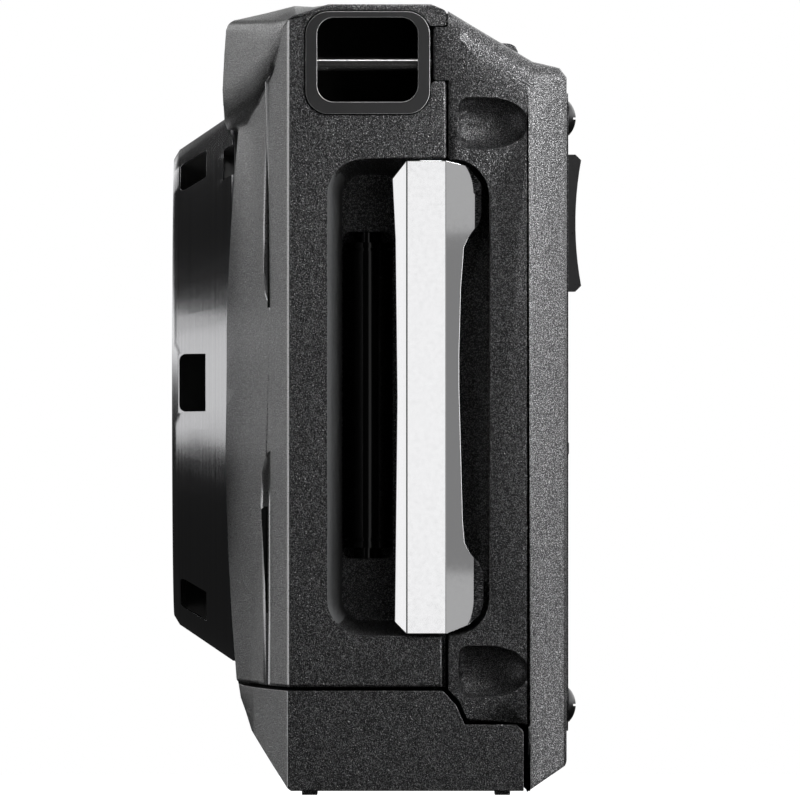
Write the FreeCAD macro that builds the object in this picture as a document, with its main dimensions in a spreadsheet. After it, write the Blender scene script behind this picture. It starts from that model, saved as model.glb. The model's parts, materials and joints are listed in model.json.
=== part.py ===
import FreeCAD, Part

import math
import os

import Sketcher

# Waterproof digital camera, in millimetres. The strap end is +X, the lens looks along -Y, +Z is up.
# The origin is under the middle of the camera, on the surface that its feet stand on.

os.makedirs("parts", exist_ok=True)
doc = FreeCAD.newDocument("Camera")
Vector = FreeCAD.Vector

SIZES = [
    # casing
    ("end_x", "58.7", "middle of the casing to either end face"),
    ("under_z", "0.4", "underside of the casing, which is also the height of the feet"),
    ("top_z", "65.6", "flat top of the casing"),
    ("crown_y", "-12.2", "front of the crowned front wall, at the middle"),
    ("front_edge_y", "-7.7", "front edge of the end face"),
    ("dome_y", "-13.1", "front of the swelling about the lens"),
    ("dome_curve", "264", "radius of the swelling's curve from top to bottom"),
    ("dome_fall", "1.71", "fall of that curve at its ends"),
    ("dome_z", "31.5", "height of the swelling's middle"),
    ("dome_tall", "60", "height of the swelling"),
    ("dome_half", "23", "half width of the swelling's flat middle"),
    ("dome_near_x", "48.5", "where the swelling runs out towards the strap end"),
    ("dome_far_x", "-30.2", "where the swelling runs out towards the grip"),
    ("split_y", "5.5", "joint between the front and the rear shell"),
    ("seam", "0.12", "width of the joint line between the shells"),
    ("crease_y", "12.46", "crease where the end face turns into the rear bevel"),
    ("back_y", "15.48", "back face of the rear shell"),
    ("rear_bevel", "2.1", "depth of the rear bevel along X"),
    ("rear_round", "0.7", "rounding of the rear shell's back edges"),
    ("top_edge_y", "4.2", "where the top starts to slope down to the back"),
    ("split_top_z", "65.05", "height of the top at the joint between the shells"),
    ("slope_y", "12.66", "lower end of the rear top slope"),
    ("slope_z", "60.86", "height of the rear top slope's lower end"),
    ("slope_round", "2.2", "rounding between the end face and the rear top slope"),
    ("slope_round_start", "1", "that rounding at the joint between the shells"),
    ("slope_round_end", "1.2", "that rounding at the back"),
    ("rib_x", "50.5", "inner end of the small rib on the rear top slope"),
    ("rib_long", "5", "length of that rib"),
    ("top_front_y", "-4.3", "where the top starts to slope down to the front"),
    ("front_top_y", "-7.26", "front edge of the casing's top"),
    ("front_top_z", "64.65", "height of the front edge of the top"),
    ("chamfer_y", "-7.7", "lower end of the bottom front chamfer"),
    ("chamfer_front_y", "-10.8", "upper end of the bottom front chamfer"),
    ("chamfer_z", "5", "height of the upper end of the bottom front chamfer"),
    ("back_chamfer_y", "12.3", "inner end of the bottom back chamfer"),
    ("back_chamfer_z", "2.45", "height of the bottom back chamfer"),
    ("wall", "2", "wall of the casing"),
    ("end_block", "12.7", "thickness of the casing's strap end, which holds the recess"),
    ("step_y", "-9.15", "depth of the decorative steps beside the lens"),
    # brow over the lens, with the flash in it
    ("brow_y", "-13.4", "front of the brow"),
    ("brow_top_z", "66.1", "top of the brow"),
    ("brow_half", "6", "half width of the brow's straight part"),
    ("brow_flank_x", "22", "where the brow's lower edge has drawn back to the swelling"),
    ("brow_shoulder_x", "40", "where the brow's lower edge climbs along the crown"),
    ("brow_turn_x", "50", "where the brow's ends turn flatter"),
    ("flash_half", "8.6", "half width of the flash window"),
    ("flash_low_z", "58.2", "lower edge of the flash window"),
    ("flash_tall", "4.4", "height of the flash window"),
    ("window_thick", "1", "thickness of the flash and lamp windows"),
    ("fit", "0.12", "clearance around a part that sits in a pocket"),
    # lens ring and what is in it
    ("lens_z", "33.9", "height of the lens axis"),
    ("ring_front_y", "-17.65", "front face of the lens ring"),
    ("ring_front_radius", "19.5", "outer radius of the ring's front face"),
    ("ring_lip_radius", "20.3", "radius behind the ring's front bevel"),
    ("ring_lip", "0.48", "depth of the ring's front bevel"),
    ("ring_base_radius", "23.4", "largest radius of the ring"),
    ("ring_side_y", "-12.6", "where the ring's cone ends"),
    ("ring_seat_y", "-11.3", "floor of the ring's seat in the front shell"),
    ("ring_bore", "16.9", "inner radius of the ring"),
    ("ring_mouth", "17.7", "inner radius of the ring's front edge"),
    ("notch_wide", "4.85", "width of a notch in the ring"),
    ("notch_front_y", "-17", "front edge of a notch"),
    ("notch_deep", "2.2", "length of a notch along the lens axis"),
    ("notch_floor", "17.9", "radius of the floor of a notch"),
    ("notch_turn", "1", "how far the six notches are turned about the lens axis, in degrees"),
    ("notch_round", "0.55", "rounding of a notch's front corners"),
    ("index_turn", "56", "direction of the ring's two index notches, in degrees"),
    ("index_deep", "1.3", "depth of an index notch"),
    ("index_wide", "4.6", "width of an index notch"),
    ("light_front_y", "-15.9", "front of the light ring and of the cover glass"),
    ("light_thick", "1.3", "thickness of the light ring's window"),
    ("glass_radius", "9.5", "radius of the cover glass"),
    ("lens_bore", "8.6", "radius of the opening in the front wall behind the glass"),
    ("board_thick", "0.8", "thickness of a circuit board"),
    ("led_size", "2.2", "side of a light-emitting chip"),
    ("led_tall", "0.7", "height of a light-emitting chip"),
    ("led_circle", "13.2", "radius of the circle of chips"),
    # end recess with the guard bar
    ("recess_front_y", "-4.4", "front edge of the end recess"),
    ("recess_back_y", "9.05", "back edge of the end recess"),
    ("recess_low_z", "13.25", "lower edge of the end recess"),
    ("recess_high_z", "52.8", "upper edge of the end recess"),
    ("recess_deep", "6.9", "depth of the end recess"),
    ("recess_round", "3.1", "corner radius of the end recess"),
    ("recess_slant", "1.24", "how far the recess wall slopes inwards"),
    ("slot_front_y", "-3.15", "front edge of the deep slot"),
    ("slot_back_y", "1.05", "back edge of the deep slot"),
    ("slot_low_z", "19.6", "lower edge of the deep slot"),
    ("slot_high_z", "46.8", "upper edge of the deep slot"),
    ("slot_round", "0.75", "corner radius of the deep slot"),
    ("barrel_radius", "2.02", "radius of the barrel in the slot"),
    ("barrel_low_z", "21.3", "lower end of the barrel's body"),
    ("barrel_high_z", "45.2", "upper end of the barrel's body"),
    ("barrel_neck", "1.7", "radius of the barrel's two necks"),
    ("bar_out_x", "59.1", "outer face of the guard bar"),
    ("bar_thick", "2.7", "thickness of the guard bar"),
    ("bar_front_y", "1", "front edge of the guard bar at its ends"),
    ("bar_facet_y", "2.2", "front edge of the bar's outer face"),
    ("bar_ridge_y", "5.46", "back edge of the bar's outer face"),
    ("bar_back_y", "8.5", "back edge of the guard bar at its ends"),
    ("bar_waist_y", "6.58", "back edge of the guard bar at its waist"),
    ("bar_low_z", "13.4", "lower end of the guard bar"),
    ("bar_high_z", "52.65", "upper end of the guard bar"),
    ("bar_front_drop", "0.9", "fall of the bar's front facet"),
    ("bar_back_drop", "1.7", "fall of the bar's back facet"),
    ("bar_soften", "0.25", "rounding of the bar's ridge"),
    ("foot_tall", "3.4", "height of each foot of the guard bar"),
    ("foot_gap", "1.4", "distance from the bar's end to its foot"),
    ("foot_front_y", "2.3", "front of the bar's feet"),
    ("foot_back_y", "7.1", "back of the bar's feet"),
    ("bar_screw", "1", "radius of the screws that hold the bar"),
    # strap lug
    ("lug_front_y", "-6.17", "front of the lug frame"),
    ("lug_back_y", "4.13", "back of the lug frame"),
    ("lug_low_z", "56.5", "lower side of the lug frame"),
    ("lug_high_z", "65", "upper side of the lug frame"),
    ("lug_round", "1.9", "corner radius of the lug frame"),
    ("lug_hole_front_y", "-5.22", "front of the lug's opening"),
    ("lug_hole_back_y", "3.14", "back of the lug's opening"),
    ("lug_hole_low_z", "57.5", "lower side of the lug's opening"),
    ("lug_hole_high_z", "64.5", "upper side of the lug's opening"),
    ("lug_hole_round", "1.4", "corner radius of the lug's opening"),
    ("lug_deep", "8.6", "depth of the lug's pocket"),
    ("lug_floor", "0.8", "thickness of the lug frame's floor"),
    ("lug_proud", "0.15", "how far the lug frame stands out of the end face"),
    ("pin_radius", "0.6", "radius of the strap pin"),
    ("pin_z", "60.66", "height of the strap pin"),
    ("pin_in", "1.5", "distance from the end face to the strap pin's axis"),
    ("tab_low_z", "59.3", "lower end of the tab that keeps the pin in"),
    ("tab_high_z", "63.7", "upper end of the tab that keeps the pin in"),
    ("tab_deep", "4", "depth of the tab"),
    # scoops in the rear shell's end
    ("scoop_y", "6.5", "flat front wall of the scoops"),
    ("scoop_long", "5.8", "length of a scoop"),
    ("scoop_radius", "2.15", "radius of a scoop"),
    ("scoop_tail", "3.5", "length of a scoop's rounded tail"),
    ("scoop_corner", "0.7", "rounding at the front wall of a scoop"),
    ("scoop_high_z", "55.75", "height of the upper scoop's middle"),
    ("scoop_low_z", "10.3", "height of the lower scoop's middle"),
    # bottom door
    ("door_x", "8", "inner edge of the door"),
    ("door_top_z", "8.7", "upper edge of the door at the front and the end"),
    ("door_gap", "0.3", "gap all round the door"),
    ("door_step_y", "5.2", "where the door's upper edge starts to drop"),
    ("door_low_y", "7", "back end of that drop"),
    ("door_low_z", "5.9", "upper edge of the door's back part"),
    ("door_back_y", "11.9", "back edge of the door"),
    ("door_wall", "1.9", "wall of the door"),
    ("hinge_radius", "1.2", "radius of the door's hinge knuckle"),
    ("hinge_pin", "0.5", "radius of the door's hinge pin"),
    ("slider_x", "51", "middle of the door lock's slider"),
    ("slider_y", "2", "middle of the slider's slot, front to back"),
    ("slider_long", "7", "length of the slider"),
    ("slider_wide", "4.4", "width of the slider"),
    ("slider_travel", "2.5", "travel of the slider"),
    ("gasket_wide", "1.2", "width of a sealing ring"),
    ("gasket_cover", "0.2", "how far the shell seal lies under the top at the joint"),
    ("gasket_tail", "1.3", "end face to the shell seal's tail over the strap end"),
    # battery and card
    ("bay_x", "10.4", "inner end of the battery bay"),
    ("bay_end_x", "45.4", "outer end of the battery bay"),
    ("bay_front_y", "-5.4", "front of the battery bay"),
    ("bay_back_y", "7.9", "back of the battery bay"),
    ("bay_low_z", "4.4", "mouth of the battery bay"),
    ("bay_high_z", "49.5", "top of the battery bay"),
    ("bay_wall", "0.9", "wall of the battery bay"),
    ("battery_wide", "32.8", "width of the battery"),
    ("battery_thick", "7", "thickness of the battery"),
    ("battery_tall", "42", "height of the battery"),
    ("card_wide", "24", "width of the memory card"),
    ("card_thick", "2.1", "thickness of the memory card"),
    ("card_tall", "32", "height of the memory card"),
    # back plate, screen and buttons
    ("plate_y", "15.62", "back face of the back plate"),
    ("plate_thick", "1.6", "thickness of the back plate"),
    ("plate_half", "55.6", "half width of the back plate"),
    ("plate_low_z", "5.3", "lower edge of the back plate"),
    ("plate_high_z", "58.3", "upper edge of the back plate"),
    ("plate_round", "3", "corner radius of the back plate"),
    ("screw_x", "52.6", "middle to the back screws"),
    ("screw_low_z", "7.45", "height of the lower back screws"),
    ("screw_high_z", "56.2", "height of the upper back screws"),
    ("screw_head", "1.4", "radius of a back screw's head"),
    ("screw_proud", "0.56", "how far a back screw's head stands out"),
    ("screw_shank", "0.8", "radius of a back screw's shank"),
    ("screw_slot", "0.09", "half width of the slots in a back screw's head"),
    ("screen_x", "15", "middle of the screen"),
    ("screen_z", "31.8", "height of the screen's middle"),
    ("screen_wide", "66", "width of the screen's window"),
    ("screen_tall", "50", "height of the screen's window"),
    ("screen_thick", "1", "thickness of the screen's window"),
    ("keys_x", "-36.4", "middle of the control pad"),
    ("keys_z", "28.6", "height of the control pad's middle"),
    ("key_in", "4.3", "inner radius of the arrow keys"),
    ("key_out", "9.2", "outer radius of the arrow keys"),
    ("key_gap", "0.35", "gap beside each button"),
    ("key_proud", "0.55", "how far the back buttons stand out"),
    ("key_flange", "0.7", "thickness of the flange under a button"),
    ("key_travel", "0.3", "travel of a back button"),
    ("button_radius", "2.9", "radius of the four small back buttons"),
    ("upper_row_z", "45.6", "height of the upper pair of small buttons"),
    ("lower_row_z", "12.6", "height of the lower pair of small buttons"),
    ("rocker_x", "-49.2", "middle of the zoom rocker"),
    ("rocker_z", "48.3", "height of the zoom rocker's middle"),
    ("rocker_tall", "12", "height of the zoom rocker"),
    ("rocker_wide", "5.6", "width of the zoom rocker"),
    ("rocker_proud", "1.9", "how far the zoom rocker's ends stand out"),
    ("rocker_dip", "0.5", "dip in the middle of the zoom rocker"),
    ("rocker_pin", "0.45", "radius of the zoom rocker's pivot pin"),
    # top buttons
    ("shutter_x", "-38", "middle of the shutter button"),
    ("shutter_half", "5.2", "half length of the shutter button"),
    ("power_x", "-20", "middle of the power button"),
    ("power_radius", "2.6", "radius of the power button"),
    ("top_key_y", "-1", "middle of the top buttons, front to back"),
    ("top_key_half", "2.6", "half width of the shutter button"),
    ("top_proud", "0.5", "how far the top buttons stand out"),
    ("top_travel", "0.4", "travel of the top buttons"),
    # folded lens
    ("housing_x", "-46", "far end of the lens housing"),
    ("housing_end_x", "8.8", "near end of the lens housing"),
    ("housing_front_y", "-7", "front of the lens housing"),
    ("snout_radius", "8.2", "radius of the lens housing's snout"),
    ("housing_back_y", "5", "back of the lens housing"),
    ("housing_half", "9.2", "half height of the lens housing"),
    ("housing_wall", "1", "wall of the lens housing"),
    ("front_glass", "6.4", "radius of the front lens element"),
    ("prism_side", "9.8", "side of the prism"),
    ("rod_radius", "0.6", "radius of the guide rods"),
    ("rod_offset", "7", "height of the guide rods above and below the axis"),
    ("rod_fit", "0.06", "running clearance of the lens groups on the rods"),
    ("group_radius", "4.6", "radius of the moving lens groups"),
    ("zoom_at_x", "-11", "zoom group at rest"),
    ("zoom_travel", "9", "travel of the zoom group"),
    ("focus_at_x", "-31", "focus group at rest"),
    ("focus_travel", "5", "travel of the focus group"),
    ("group_thick", "3.4", "thickness of a lens group"),
    ("lead_lift", "2.4", "height of the lead screws above the lens housing"),
    ("lead_radius", "0.7", "radius of the lead screws"),
    ("motor_radius", "2.1", "radius of the lens motors"),
    ("motor_long", "5.5", "length of the lens motors"),
    # frame, boards and small parts
    ("chassis_y", "8.6", "front face of the chassis plate"),
    ("chassis_thick", "0.8", "thickness of the chassis plate"),
    ("board_y", "7.4", "front face of the main board"),
    ("board_end_x", "8.6", "near edge of the main board"),
    ("lcd_thick", "2.6", "thickness of the display module"),
    ("mat_thick", "0.8", "thickness of the rubber key mats"),
    ("tripod_x", "-8", "middle of the tripod socket"),
    ("tripod_y", "-0.4", "tripod socket, front to back"),
    ("tripod_radius", "3.175", "radius of the tripod socket's thread"),
    ("tripod_deep", "7", "depth of the tripod socket"),
    ("tripod_wall", "1.4", "wall of the tripod socket"),
    ("tripod_flange", "6", "radius of the tripod socket's flange"),
    ("capacitor_radius", "3.4", "radius of the flash capacitor"),
    ("grip_x", "-30.5", "inner edge of the grip pad"),
    ("grip_proud", "0.4", "how far the grip pad stands out of the end face"),
    ("grip_low_z", "9.5", "lower edge of the grip pad"),
    ("grip_high_z", "52", "upper edge of the grip pad"),
    ("grip_thick", "1.3", "thickness of the grip pad on the end face"),
    ("lamp_x", "-27.5", "middle of the focus lamp"),
    ("lamp_z", "52.6", "height of the focus lamp"),
    ("lamp_radius", "1.7", "radius of the focus lamp"),
]

sheet = doc.addObject("Spreadsheet::Sheet", "Sizes")
for row, (alias, number, meaning) in enumerate(SIZES, 1):
    sheet.set(f"A{row}", alias)
    sheet.set(f"B{row}", number)
    sheet.setAlias(f"B{row}", alias)
    sheet.set(f"C{row}", meaning)
doc.recompute()


class Size:
    """A number together with the spreadsheet formula that it comes from."""

    def __init__(self, number, formula):
        self.number = float(number)
        self.formula = formula

    def __add__(self, other):
        other = size(other)
        return Size(self.number + other.number, f"({self.formula} + {other.formula})")

    def __sub__(self, other):
        other = size(other)
        return Size(self.number - other.number, f"({self.formula} - {other.formula})")

    def __mul__(self, other):
        other = size(other)
        return Size(self.number * other.number, f"({self.formula} * {other.formula})")

    def __truediv__(self, other):
        other = size(other)
        return Size(self.number / other.number, f"({self.formula} / {other.formula})")

    def __neg__(self):
        return Size(-self.number, f"(0 - {self.formula})")

    def __radd__(self, other):
        return size(other) + self

    def __rsub__(self, other):
        return size(other) - self

    def __rmul__(self, other):
        return size(other) * self


def size(thing):
    """A plain number as a Size, and a Size as it is."""
    if isinstance(thing, Size):
        return thing
    return Size(thing, f"({thing!r})")


def root_of(thing):
    """The square root of a size."""
    return Size(math.sqrt(thing.number), f"sqrt({thing.formula})")


class Sheet:
    """Gives each named size of the spreadsheet as a Size."""

    def __getattr__(self, alias):
        return Size(sheet.get(alias), f"Sizes.{alias}")


S = Sheet()


def bind(thing, prop, value):
    """Ties a property to the formula of a size."""
    value = size(value)
    if not prop.startswith("Attachment"):
        setattr(thing, prop, value.number)
    thing.setExpression(prop, value.formula)


# sketches on the planes of a body: FRONT has X and Z, SIDE has Y and Z, PLAN has X and Y
FRONT = "XZ_Plane"
SIDE = "YZ_Plane"
PLAN = "XY_Plane"

nodes = []


def new_body(name):
    """A body of its own for one piece."""
    body = doc.addObject("PartDesign::Body", name)
    body.Label = name
    body.AllowCompound = True
    nodes.append(body)
    return body


def new_sketch(body, plane, level, shift=None):
    """A sketch on one of the body's planes, moved along the plane's normal to the level."""
    sketch = body.newObject("Sketcher::SketchObject", body.Name + "_sketch")
    base = [feature for feature in body.Origin.OriginFeatures if feature.Role == plane][0]
    sketch.AttachmentSupport = (base, [""])
    sketch.MapMode = "FlatFace"
    bind(sketch, "AttachmentOffset.Base.z", level)
    if shift is not None:
        bind(sketch, "AttachmentOffset.Base.x", shift[0])
        bind(sketch, "AttachmentOffset.Base.y", shift[1])
    return sketch


def place_point(sketch, edge, end, point):
    """Ties one end of a sketch edge to its two coordinates."""
    for kind, value in (("DistanceX", size(point[0])), ("DistanceY", size(point[1]))):
        index = sketch.addConstraint(Sketcher.Constraint(kind, -1, 1, edge, end, value.number))
        sketch.setExpression(f"Constraints[{index}]", value.formula)


def arc_between(start, end, radius):
    """The arc from start to end that turns left for a positive radius and right for a negative one."""
    chord = end - start
    half = chord.Length / 2
    reach = math.sqrt(max(radius * radius - half * half, 0))
    left = Vector(-chord.y, chord.x, 0).normalize()
    middle = (start + end) / 2 + left * math.copysign(reach, radius)
    circle = Part.Circle(middle, Vector(0, 0, 1), abs(radius))
    first, last = (start, end) if radius > 0 else (end, start)
    return Part.ArcOfCircle(circle, circle.parameter(first), circle.parameter(last))


def draw_outline(sketch, points):
    """Draws a closed outline. A point is (u, v), or (u, v, radius) where an arc leads to the next point."""
    count = len(points)
    ends = []
    for index, point in enumerate(points):
        following = points[(index + 1) % count]
        start = Vector(size(point[0]).number, size(point[1]).number, 0)
        end = Vector(size(following[0]).number, size(following[1]).number, 0)
        if len(point) == 2:
            edge = sketch.addGeometry(Part.LineSegment(start, end), False)
            ends.append((edge, 1, 2))
            continue
        radius = size(point[2])
        edge = sketch.addGeometry(arc_between(start, end, radius.number), False)
        ends.append((edge, 1, 2) if radius.number > 0 else (edge, 2, 1))
    for index, (edge, first, last) in enumerate(ends):
        following = ends[(index + 1) % count]
        sketch.addConstraint(Sketcher.Constraint("Coincident", edge, last, following[0], following[1]))
    for index, (edge, first, last) in enumerate(ends):
        place_point(sketch, edge, first, points[index])
        if len(points[index]) == 3:
            radius = size(points[index][2])
            bound = sketch.addConstraint(Sketcher.Constraint("Radius", edge, abs(radius.number)))
            positive = radius if radius.number > 0 else -radius
            sketch.setExpression(f"Constraints[{bound}]", positive.formula)


def box_points(low_u, high_u, low_v, high_v):
    """The corners of a rectangle."""
    return [(low_u, low_v), (high_u, low_v), (high_u, high_v), (low_u, high_v)]


def round_box(low_u, high_u, low_v, high_v, radius):
    """The outline of a rectangle with rounded corners."""
    low_u, high_u, low_v, high_v = size(low_u), size(high_u), size(low_v), size(high_v)
    return [
        (low_u + radius, low_v),
        (high_u - radius, low_v, radius),
        (high_u, low_v + radius),
        (high_u, high_v - radius, radius),
        (high_u - radius, high_v),
        (low_u + radius, high_v, radius),
        (low_u, high_v - radius),
        (low_u, low_v + radius, radius),
    ]


def level_of(plane, low, high):
    """Where a sketch between two coordinates starts: the front planes look along -Y."""
    return -size(high) if plane == FRONT else size(low)


def extrude(body, plane, low, high, cut):
    """Pads or pockets what the last sketch holds, between two coordinates along the plane's normal."""
    sketch = body.Group[-1]
    before = volume_of(body, sketch)
    kind = "PartDesign::Pocket" if cut else "PartDesign::Pad"
    feature = body.newObject(kind, body.Name + ("_cut" if cut else "_add"))
    feature.Profile = sketch
    feature.Type = 0
    feature.Reversed = cut
    bind(feature, "Length", size(high) - size(low))
    doc.recompute()
    after = feature.Shape.Volume
    if (cut and after >= before - 1e-6) or (not cut and after <= before + 1e-6):
        raise ValueError(f"{feature.Name} changes nothing: {before} to {after}")
    return feature


def volume_of(body, sketch):
    """The volume of the body's solid before its last sketch."""
    solids = [item for item in body.Group if item != sketch and item.isDerivedFrom("PartDesign::Feature")]
    return solids[-1].Shape.Volume if solids else 0


def prism(body, plane, low, high, points, cut=False):
    """An outline between two coordinates along the plane's normal."""
    sketch = new_sketch(body, plane, level_of(plane, low, high))
    draw_outline(sketch, points)
    return extrude(body, plane, low, high, cut)


def draw_circles(sketch, circles):
    """Draws full circles, each (u, v, radius)."""
    for u, v, radius in circles:
        middle = Vector(size(u).number, size(v).number, 0)
        circle = Part.Circle(middle, Vector(0, 0, 1), size(radius).number)
        edge = sketch.addGeometry(circle, False)
        place_point(sketch, edge, 3, (u, v))
        bound = sketch.addConstraint(Sketcher.Constraint("Radius", edge, size(radius).number))
        sketch.setExpression(f"Constraints[{bound}]", size(radius).formula)


def disc(body, plane, low, high, u, v, radius, cut=False, inner=None):
    """A disc or a tube between two coordinates along the plane's normal."""
    sketch = new_sketch(body, plane, level_of(plane, low, high))
    circles = [(u, v, radius)]
    if inner is not None:
        circles.append((u, v, inner))
    draw_circles(sketch, circles)
    return extrude(body, plane, low, high, cut)


def discs(body, plane, low, high, places, radius, cut=False):
    """Equal discs at several places."""
    sketch = new_sketch(body, plane, level_of(plane, low, high))
    draw_circles(sketch, [(u, v, radius) for u, v in places])
    return extrude(body, plane, low, high, cut)


def turned(body, axis_z, points, cut=False, axis_x=None):
    """An outline of (y, radius) points turned about an axis along Y through the given X and Z."""
    sketch = new_sketch(body, SIDE, 0 if axis_x is None else axis_x, shift=(0, axis_z))
    before = volume_of(body, sketch)
    draw_outline(sketch, points)
    kind = "PartDesign::Groove" if cut else "PartDesign::Revolution"
    feature = body.newObject(kind, body.Name + ("_turned_cut" if cut else "_turned"))
    feature.Profile = sketch
    feature.ReferenceAxis = (sketch, ["H_Axis"])
    feature.Angle = 360
    doc.recompute()
    after = feature.Shape.Volume
    if (cut and after >= before - 1e-6) or (not cut and after <= before + 1e-6):
        raise ValueError(f"{feature.Name} changes nothing: {before} to {after}")
    return feature


def lofted(body, plane, sections, cut=False):
    """A solid or a hollow between outlines, each (level, points)."""
    sketches = []
    for level, points in sections:
        sketch = new_sketch(body, plane, -size(level) if plane == FRONT else size(level))
        draw_outline(sketch, points)
        sketches.append(sketch)
    kind = "PartDesign::SubtractiveLoft" if cut else "PartDesign::AdditiveLoft"
    loft = body.newObject(kind, body.Name + "_loft")
    loft.Profile = sketches[0]
    loft.Sections = sketches[1:]
    loft.Ruled = True
    doc.recompute()
    return loft


def dress(body, kind, amount, chosen):
    """Fillets or chamfers the edges of the body's last solid for which chosen(edge) is true."""
    base = body.Tip
    names = [f"Edge{index}" for index, edge in enumerate(base.Shape.Edges, 1) if chosen(edge)]
    if not names:
        raise ValueError(f"no edge of {body.Label} to dress")
    feature = body.newObject(f"PartDesign::{kind}", f"{body.Name}_{kind.lower()}")
    feature.Base = (base, names)
    bind(feature, "Radius" if kind == "Fillet" else "Size", amount)
    doc.recompute()
    return feature


def is_straight(edge):
    """True where an edge is a straight line."""
    return edge.Curve.TypeId == "Part::GeomLine"


def along(edge, direction):
    """True where a straight edge runs along the direction."""
    return is_straight(edge) and abs(abs(edge.tangentAt(edge.FirstParameter).dot(direction)) - 1) < 1e-6


def near(number, target, margin=0.02):
    """True where a number is at a size."""
    return abs(number - size(target).number) < margin


X = Vector(1, 0, 0)
Y = Vector(0, 1, 0)
Z = Vector(0, 0, 1)
FAR = 40

# worked out from the driving sizes
crown_fall = S.front_edge_y - S.crown_y
crown_curve = (S.end_x * S.end_x + crown_fall * crown_fall) / (2 * crown_fall)
inner_end_x = S.end_x - S.end_block
rear_y = S.split_y + S.seam
cavity_y = S.crown_y + S.wall
recess_x = S.end_x - S.recess_deep
bar_in_x = S.bar_out_x - S.bar_thick
barrel_y = (S.slot_front_y + S.slot_back_y) / 2
barrel_x = recess_x - S.barrel_radius - 0.15
slot_x = barrel_x - S.barrel_radius - 0.15
bar_foot_y = S.foot_front_y + 1.15
foot_low_z = S.bar_low_z + S.foot_gap + S.foot_tall / 2
foot_high_z = S.bar_high_z - S.foot_gap - S.foot_tall / 2
plate_floor_y = S.plate_y - S.plate_thick
wall_in_y = plate_floor_y - S.wall + 0.4
keypad_edge_x = S.screen_x - S.screen_wide / 2 - 2.4
key_back_y = S.plate_y + S.key_proud
flange_back_y = plate_floor_y - 0.1
flange_y = flange_back_y - S.key_flange
mat_back_y = flange_y - S.key_travel - 0.05
mat_y = mat_back_y - S.mat_thick
control_y = mat_y - S.board_thick
chassis_back_y = S.chassis_y + S.chassis_thick
hinge_x = S.door_x + S.hinge_radius
hinge_z = S.under_z + S.hinge_radius
door_wall_x = hinge_x + S.hinge_radius + 0.4
door_floor_z = S.under_z + S.door_wall
bay_floor_z = S.door_top_z + S.door_gap
well_x = S.door_x - S.door_gap - 1.7
cavity_top_z = S.top_z - 3.4
ear_wide = size(2)
ear_front_y = S.bay_front_y - 0.4
ear_back_y = S.door_back_y - 3.1
led_front_y = S.ring_seat_y - S.board_thick
slider_low_y = S.slider_y - S.slider_long / 2 - S.slider_travel / 2
card_y = S.bay_front_y + S.bay_wall + S.battery_thick + 0.3 + S.bay_wall + 0.15
rocker_axis_y = plate_floor_y - 0.6
group_y = size(-1)
foot_front_y = size(-6.5)
foot_rear_y = size(9.5)


def crown_at(x, offset):
    """How far forward the crowned front wall is at a given X, moved back by an offset."""
    return S.crown_y + offset + crown_curve - root_of(crown_curve * crown_curve - x * x)


def casing_top(sign):
    """What is cut off above the casing's top, seen from the side; sign is -1 for the front shell."""
    if sign < 0:
        return [
            (S.front_top_y - FAR, S.top_z + FAR),
            (S.front_top_y - FAR, S.front_top_z - FAR),
            (S.front_top_y, S.front_top_z),
            (S.top_front_y, S.top_z),
            (S.top_edge_y, S.top_z),
            (S.split_y, S.split_top_z),
            (S.split_y + 1, S.split_top_z),
            (S.split_y + 1, S.top_z + FAR),
        ]
    return [
        (S.split_y - 3, S.top_z + FAR),
        (S.split_y - 3, S.top_z + 2),
        (rear_y, S.split_top_z),
        (S.slope_y, S.slope_z),
        (S.back_y - 0.6, S.slope_z - 0.5),
        (S.back_y + 1, S.slope_z - 2.6),
        (S.back_y + FAR, S.slope_z - 2.6),
        (S.back_y + FAR, S.top_z + FAR),
    ]


def door_profile(grow):
    """The door's side profile; grow is the gap that is left all round it."""
    return [
        (S.brow_y - FAR, S.under_z - FAR),
        (S.door_back_y + grow, S.under_z - FAR),
        (S.door_back_y + grow, S.door_low_z - 0.6 + grow),
        (S.door_back_y - 0.6 + grow, S.door_low_z + grow),
        (S.door_low_y + grow, S.door_low_z + grow),
        (S.door_step_y + 1.1 + grow, S.door_top_z - 1.2 + grow),
        (S.door_step_y + grow, S.door_top_z + grow),
        (S.brow_y - FAR, S.door_top_z + grow),
    ]


def cut_door_room(body):
    """The room for the door: its plate from the hinge on, and its walls past the hinge."""
    prism(body, SIDE, S.door_x - S.door_gap, S.end_x + FAR, [
        (S.brow_y - FAR, S.under_z - FAR),
        (S.door_back_y + S.door_gap, S.under_z - FAR),
        (S.door_back_y + S.door_gap, hinge_z + S.hinge_radius + S.door_gap),
        (S.brow_y - FAR, hinge_z + S.hinge_radius + S.door_gap),
    ], cut=True)
    prism(body, SIDE, door_wall_x - S.door_gap, S.end_x + FAR, door_profile(S.door_gap), cut=True)


def crowned_prism(body, low_z, high_z, back_y):
    """The casing's crowned front between its two ends."""
    prism(body, PLAN, low_z, high_z, [
        (-S.end_x, back_y),
        (-S.end_x, S.front_edge_y, crown_curve),
        (S.end_x, S.front_edge_y),
        (S.end_x, back_y),
    ])


def cut_front_bottom(body):
    """The chamfer along the bottom front edge, and all that lies under the casing."""
    prism(body, SIDE, -S.end_x - FAR, S.end_x + FAR, [
        (S.brow_y - FAR, S.under_z - FAR),
        (S.split_y + FAR, S.under_z - FAR),
        (S.split_y + FAR, S.under_z),
        (S.chamfer_y + 0.3, S.under_z),
        (S.chamfer_y, S.under_z + 0.25),
        (S.chamfer_front_y, S.chamfer_z),
        (S.chamfer_front_y - 0.55, S.chamfer_z + 1.5),
        (S.chamfer_front_y - 1.05, S.chamfer_z + 2.6),
        (S.dome_y - 0.1, S.chamfer_z + 9),
        (S.brow_y - FAR, S.chamfer_z + 9),
    ], cut=True)


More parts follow.
